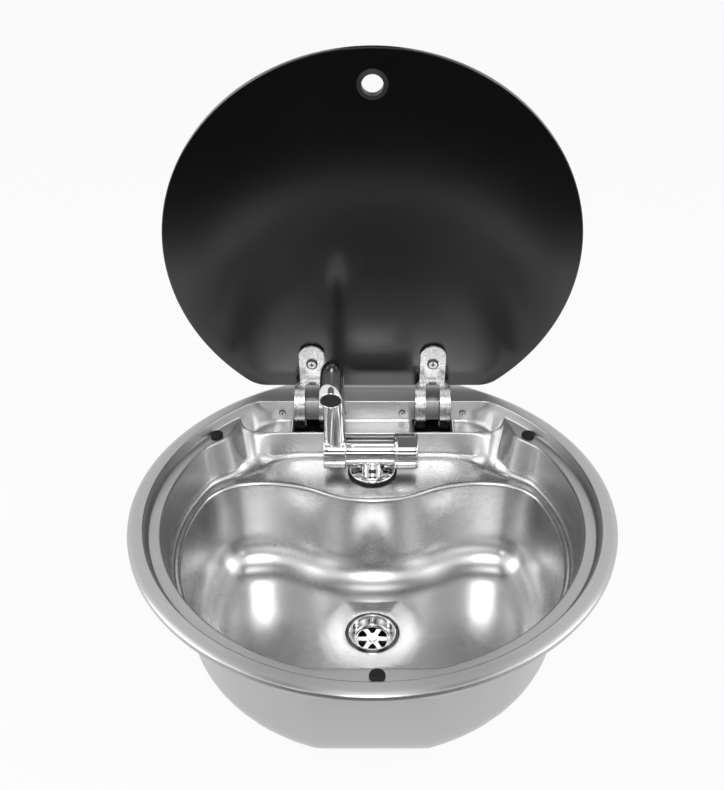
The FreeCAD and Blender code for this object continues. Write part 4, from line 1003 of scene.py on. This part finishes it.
# Tap body: a chromed brass casting, a cross barrel on a short neck with an axle at its left end.
# A threaded brass shank, a rubber washer and a nut clamp it through the shelf, and the barrel
# holds the brass valve cartridge.
BARREL_R = 14.4
BARREL_LEFT = -25.6
BARREL_RIGHT = 21.0
NECK_R = 12.0
AXLE_R = 7.9
AXLE_LENGTH = 17.2
barrel_length = BARREL_RIGHT - BARREL_LEFT
barrel_profile = [(3.0, 0.0, 0), (BARREL_R, 0.0, 0.5), (BARREL_R, barrel_length, 0.5),
                  (11.8, barrel_length, 0.2), (11.6, barrel_length - 4.0, 0)]
barrel_shape = turned(barrel_profile, (BARREL_LEFT, TAP_Y, TAP_Z), ALONG, steps=128)
neck_profile = [(NECK_R, 0.0, 0), (NECK_R, 9.0, 4.0), (14.0, 15.5, 3.0), (14.2, 19.0, 0)]
neck_shape = turned(neck_profile, rose_foot, UP, ease=8)
axle_profile = [(4.0, 0.0, 0), (AXLE_R, 0.0, 0.3), (AXLE_R, AXLE_LENGTH, 0)]
axle_shape = turned(axle_profile, (BARREL_LEFT - AXLE_LENGTH, TAP_Y, TAP_Z), ALONG, steps=64)
casting_shape = together(barrel_shape, neck_shape, axle_shape)
piece("tap_casting", *casting_shape, chrome, "sink", "chrome", ["tap_body"])
bare_brass = Finish("brass")
tarnish = bare_brass.noise(bare_brass.point(), 120.0, detail=3.0)
brass = bare_brass.surface({
    "Base Color": bare_brass.mix(tarnish, (0.62, 0.44, 0.17, 1), (0.72, 0.55, 0.26, 1)),
    "Metallic": 1.0,
    "Roughness": 0.24 + tarnish * 0.16,
})
dressed(["tap_shank", "tap_nut"], brass, edge=0.3)
dressed(["tap_washer"], black_rubber, edge=0.2)
dressed(["valve_cartridge"], brass)


# Spout hub: a chromed brass drum that turns on the casting's axle, sealed on it by two rubber
# rings and held by a screw under a small chromed cap.
HUB_LEFT = -47.1
HUB_LENGTH = 21.2
SPOUT_HUB_R = 17.0
hub_profile = [(6.45, 0.6, 0), (6.5, 0.0, 0.1), (SPOUT_HUB_R, 0.0, 1.6), (SPOUT_HUB_R, HUB_LENGTH, 1.2),
               (8.0, HUB_LENGTH, 0)]
hub_shape = turned(hub_profile, (HUB_LEFT, TAP_Y, TAP_Z), ALONG, steps=128, ease=6)
piece("spout_hub_turned", *hub_shape, chrome, "spout", "chrome", ["spout_hub"])
dressed(["hub_cap"], chrome)
dressed(["spout_rings"], black_rubber)
dressed(["hub_screw"], pin_steel)


# Spout tube: a chromed brass tube, brazed upright into the hub and bent over in one bend, with a
# moulded dark insert in its mouth.
TUBE_X = -36.5
TUBE_R = 10.2
TUBE_BORE = 9.0
TUBE_ROWS = (12.6, 20.0, 30.0, 40.0, 50.0, 60.0, 70.0)
TUBE_RISE = 77.5
TUBE_BEND = 26.0
TUBE_TURN = 106.0
TUBE_END = 24.0
BEND_STEPS = 40
ROUND_STEPS = 96
tube_line = []
for rise in TUBE_ROWS:
    tube_line.append((Vector((TUBE_X, TAP_Y, TAP_Z + rise)), Vector(UP), TUBE_R))
bend_middle = Vector((TUBE_X, TAP_Y - TUBE_BEND, TAP_Z + TUBE_RISE))
for i in range(BEND_STEPS + 1):
    turn = math.radians(TUBE_TURN * i / BEND_STEPS)
    spot = bend_middle + Vector((0, TUBE_BEND * math.cos(turn), TUBE_BEND * math.sin(turn)))
    tube_line.append((spot, Vector((0, -math.sin(turn), math.cos(turn))), TUBE_R))
bend_end, end_way = tube_line[-1][:2]
# Past the bend, as (distance, radius): the straight end, its rounded rim and the wall inside.
mouth_rows = [(5.0, TUBE_R), (10.0, TUBE_R), (TUBE_END - 0.7, TUBE_R), (TUBE_END - 0.35, TUBE_R - 0.12),
              (TUBE_END - 0.08, TUBE_R - 0.4), (TUBE_END - 0.02, TUBE_BORE + 0.35),
              (TUBE_END - 0.3, TUBE_BORE), (TUBE_END - 4.0, TUBE_BORE)]
for distance, radius in mouth_rows:
    tube_line.append((bend_end + end_way * distance, end_way, radius))
tube_points = []
for spot, way, radius in tube_line:
    lift = Vector(ALONG).cross(way)
    for k in range(ROUND_STEPS):
        turn = 2 * math.pi * k / ROUND_STEPS
        tube_points.append(spot + (Vector(ALONG) * math.cos(turn) + lift * math.sin(turn)) * radius)
tube_faces = []
for i in range(len(tube_line) - 1):
    here = i * ROUND_STEPS
    beyond = here + ROUND_STEPS
    for k in range(ROUND_STEPS):
        after = (k + 1) % ROUND_STEPS
        tube_faces.append((here + k, beyond + k, beyond + after, here + after))
piece("spout_bend", tube_points, tube_faces, chrome, "spout", "chrome", ["spout_tube"])
dressed(["spout_outlet"], dark_plastic, edge=0.2)


# Knob: a chromed cap on the valve's brass spindle, with a groove near the barrel and a flat for
# the thumb, held by a steel screw in its outer end.
KNOB_R = 17.8
KNOB_LENGTH = 23.0
KNOB_LEFT = 21.4
GRIP_R = KNOB_R - 0.05
FLAT_TURN = math.radians(66.0)
FLAT_REACH = 16.5
FLAT_START = 2.9
knob_profile = [(11.5, 0.6, 0), (12.0, 0.0, 0.4), (KNOB_R, 0.0, 0.5), (KNOB_R, 1.9, 0.4),
                (KNOB_R - 0.35, 2.3, 0.3), (GRIP_R, 3.0, 0.4), (GRIP_R, KNOB_LENGTH, 3.5),
                (3.3, KNOB_LENGTH, 0.3), (3.15, KNOB_LENGTH - 1.6, 0)]
knob_foot = (KNOB_LEFT, TAP_Y, TAP_Z)
knob_points, knob_faces = turned(knob_profile, knob_foot, ALONG, steps=128, ease=8)
flat_way = Vector((0, -math.cos(FLAT_TURN), math.sin(FLAT_TURN)))
for point in knob_points:
    over = (point - Vector((point.x, TAP_Y, TAP_Z))).dot(flat_way) - FLAT_REACH
    if over > 0 and point.x > KNOB_LEFT + FLAT_START:
        point -= flat_way * over
piece("tap_knob_cap", knob_points, knob_faces, chrome, "knob", "chrome", ["tap_knob"])
dressed(["valve_spindle"], brass)
dressed(["knob_screw"], polished_steel, edge=0.15)


# Studio: a pale floor under a white sky, lit by soft boxes above, at both sides and in front.
# Black cards and grey flags out of the lens's sight are there for the steel and the glass to
# mirror. Sizes and places are metres.
FLOOR_AT = -0.2075
FLOOR_GLOW = 0.92
SKY_FILL = 0.45
CARD_LIFT = 0.001
STANDING = (math.radians(90), 0, 0)
LYING = (0, 0, 0)


def stage_plane(name, width, depth, place, turn, finish):
    # A flat sheet of the studio, its width and depth measured before it is turned.
    x = width / 2
    y = depth / 2
    mesh = bpy.data.meshes.new(name)
    mesh.from_pydata([(-x, -y, 0), (x, -y, 0), (x, y, 0), (-x, y, 0)], [], [(0, 1, 2, 3)])
    made = bpy.data.objects.new(name, mesh)
    bpy.context.scene.collection.objects.link(made)
    made.location = place
    made.rotation_euler = turn
    mesh.materials.append(finish)
    return made


def seen_directly(finish):
    # Full for rays from the lens, a mirror or glass, and none for the light that surfaces gather.
    kinds = ("Is Camera Ray", "Is Glossy Ray", "Is Transmission Ray")
    lens, mirror, through = [finish.node("ShaderNodeLightPath", out=kind) for kind in kinds]
    return finish.maths("ADD", lens + mirror, through, clamp=True)


paint = Finish("floor")
cloud = paint.noise(paint.point(), 3.0)
coat = paint.node("ShaderNodeBsdfDiffuse", {}, {"Color": paint.mix(cloud, grey(0.82), grey(0.85))})
glow = paint.node("ShaderNodeEmission", {}, {"Color": grey(1.0), "Strength": 1.0})
pale_floor = paint.shown(paint.blend(seen_directly(paint) * FLOOR_GLOW, coat, glow))
stage_plane("floor", 12.0, 12.0, (0, 0, FLOOR_AT), LYING, pale_floor)

card = Finish("black_card")
nap = card.noise(card.point(), 40.0)
black_card = card.surface({
    "Base Color": card.mix(nap, grey(0.010), grey(0.014)),
    "Roughness": 0.9,
    "Specular IOR Level": 0.0,
})
front_card = stage_plane("front_card", 3.0, 2.32, (0, -1.49, FLOOR_AT + CARD_LIFT), LYING, black_card)
rear_card = stage_plane("rear_card", 0.4, 0.6, (0, 1.5, 0.98), STANDING, black_card)
for made in (front_card, rear_card):
    made.visible_camera = False
    made.visible_diffuse = False
    made.visible_shadow = False

cloth = Finish("grey_flag")
weave = cloth.noise(cloth.point(), 60.0)
grey_flag = cloth.surface({
    "Base Color": cloth.mix(weave, grey(0.20), grey(0.25)),
    "Roughness": 0.9,
    "Specular IOR Level": 0.0,
})
flag = stage_plane("flag", 1.8, 1.4, (0, -0.1, 1.9), LYING, grey_flag)
curtain = stage_plane("curtain", 4.0, 2.6, (0, -2.65, 1.1), STANDING, grey_flag)
for made in (flag, curtain):
    made.visible_camera = False

sky = Finish("studio", "World")
dim = sky.node("ShaderNodeBackground", {}, {"Color": grey(1.0), "Strength": SKY_FILL})
white = sky.node("ShaderNodeBackground", {}, {"Color": grey(1.0), "Strength": 1.0})
bpy.context.scene.world = sky.shown(sky.blend(seen_directly(sky), dim, white))


def softbox(name, width, depth, place, aim, power):
    # A soft rectangular light of some watts, turned to a point.
    lamp = bpy.data.lights.new(name, "AREA")
    lamp.shape = "RECTANGLE"
    lamp.size = width
    lamp.size_y = depth
    lamp.energy = power
    made = bpy.data.objects.new(name, lamp)
    bpy.context.scene.collection.objects.link(made)
    made.location = place
    made.rotation_euler = (Vector(aim) - Vector(place)).to_track_quat("-Z", "Y").to_euler()


softbox("key", 0.4, 0.14, (0.0, -1.3, 1.21), (0, 0.05, -0.05), 1.6)
softbox("upper_key", 0.5, 0.3, (0.0, -1.3, 1.5), (0, 0.05, -0.05), 8.0)
softbox("strip", 0.5, 0.5, (0.0, -0.1, 1.55), (0, -0.1, 0), 1.6)
softbox("left", 1.1, 1.2, (-1.5, -0.15, 1.0), (0, 0, 0), 9.0)
softbox("right", 1.1, 1.2, (1.5, -0.15, 1.0), (0, 0, 0), 7.5)
softbox("front_left", 0.35, 0.35, (-0.9, -1.7, 0.75), (0, 0.1, 0), 2.1)
softbox("front_right", 0.35, 0.35, (0.9, -1.7, 0.75), (0, 0.1, 0), 1.5)
softbox("front_middle", 0.7, 0.2, (0.0, -1.7, 0.66), (0, 0.1, 0), 2.2)


# Camera: in front of the sink and higher than the open lid, looking down into the bowl. Its
# place, tilt and lens come from the round rim, which the photograph shows as an ellipse.
bpy.context.scene.view_settings.view_transform = "Standard"
lens = bpy.data.cameras.new("camera")
lens.lens = 45.14
lens.sensor_width = 36.0
lens.shift_x = -0.01316
camera = bpy.data.objects.new("camera", lens)
bpy.context.scene.collection.objects.link(camera)
camera.location = (0.0, -0.66803, 0.56041)
camera.rotation_euler = (math.radians(56.44), 0, 0)
bpy.context.scene.camera = camera
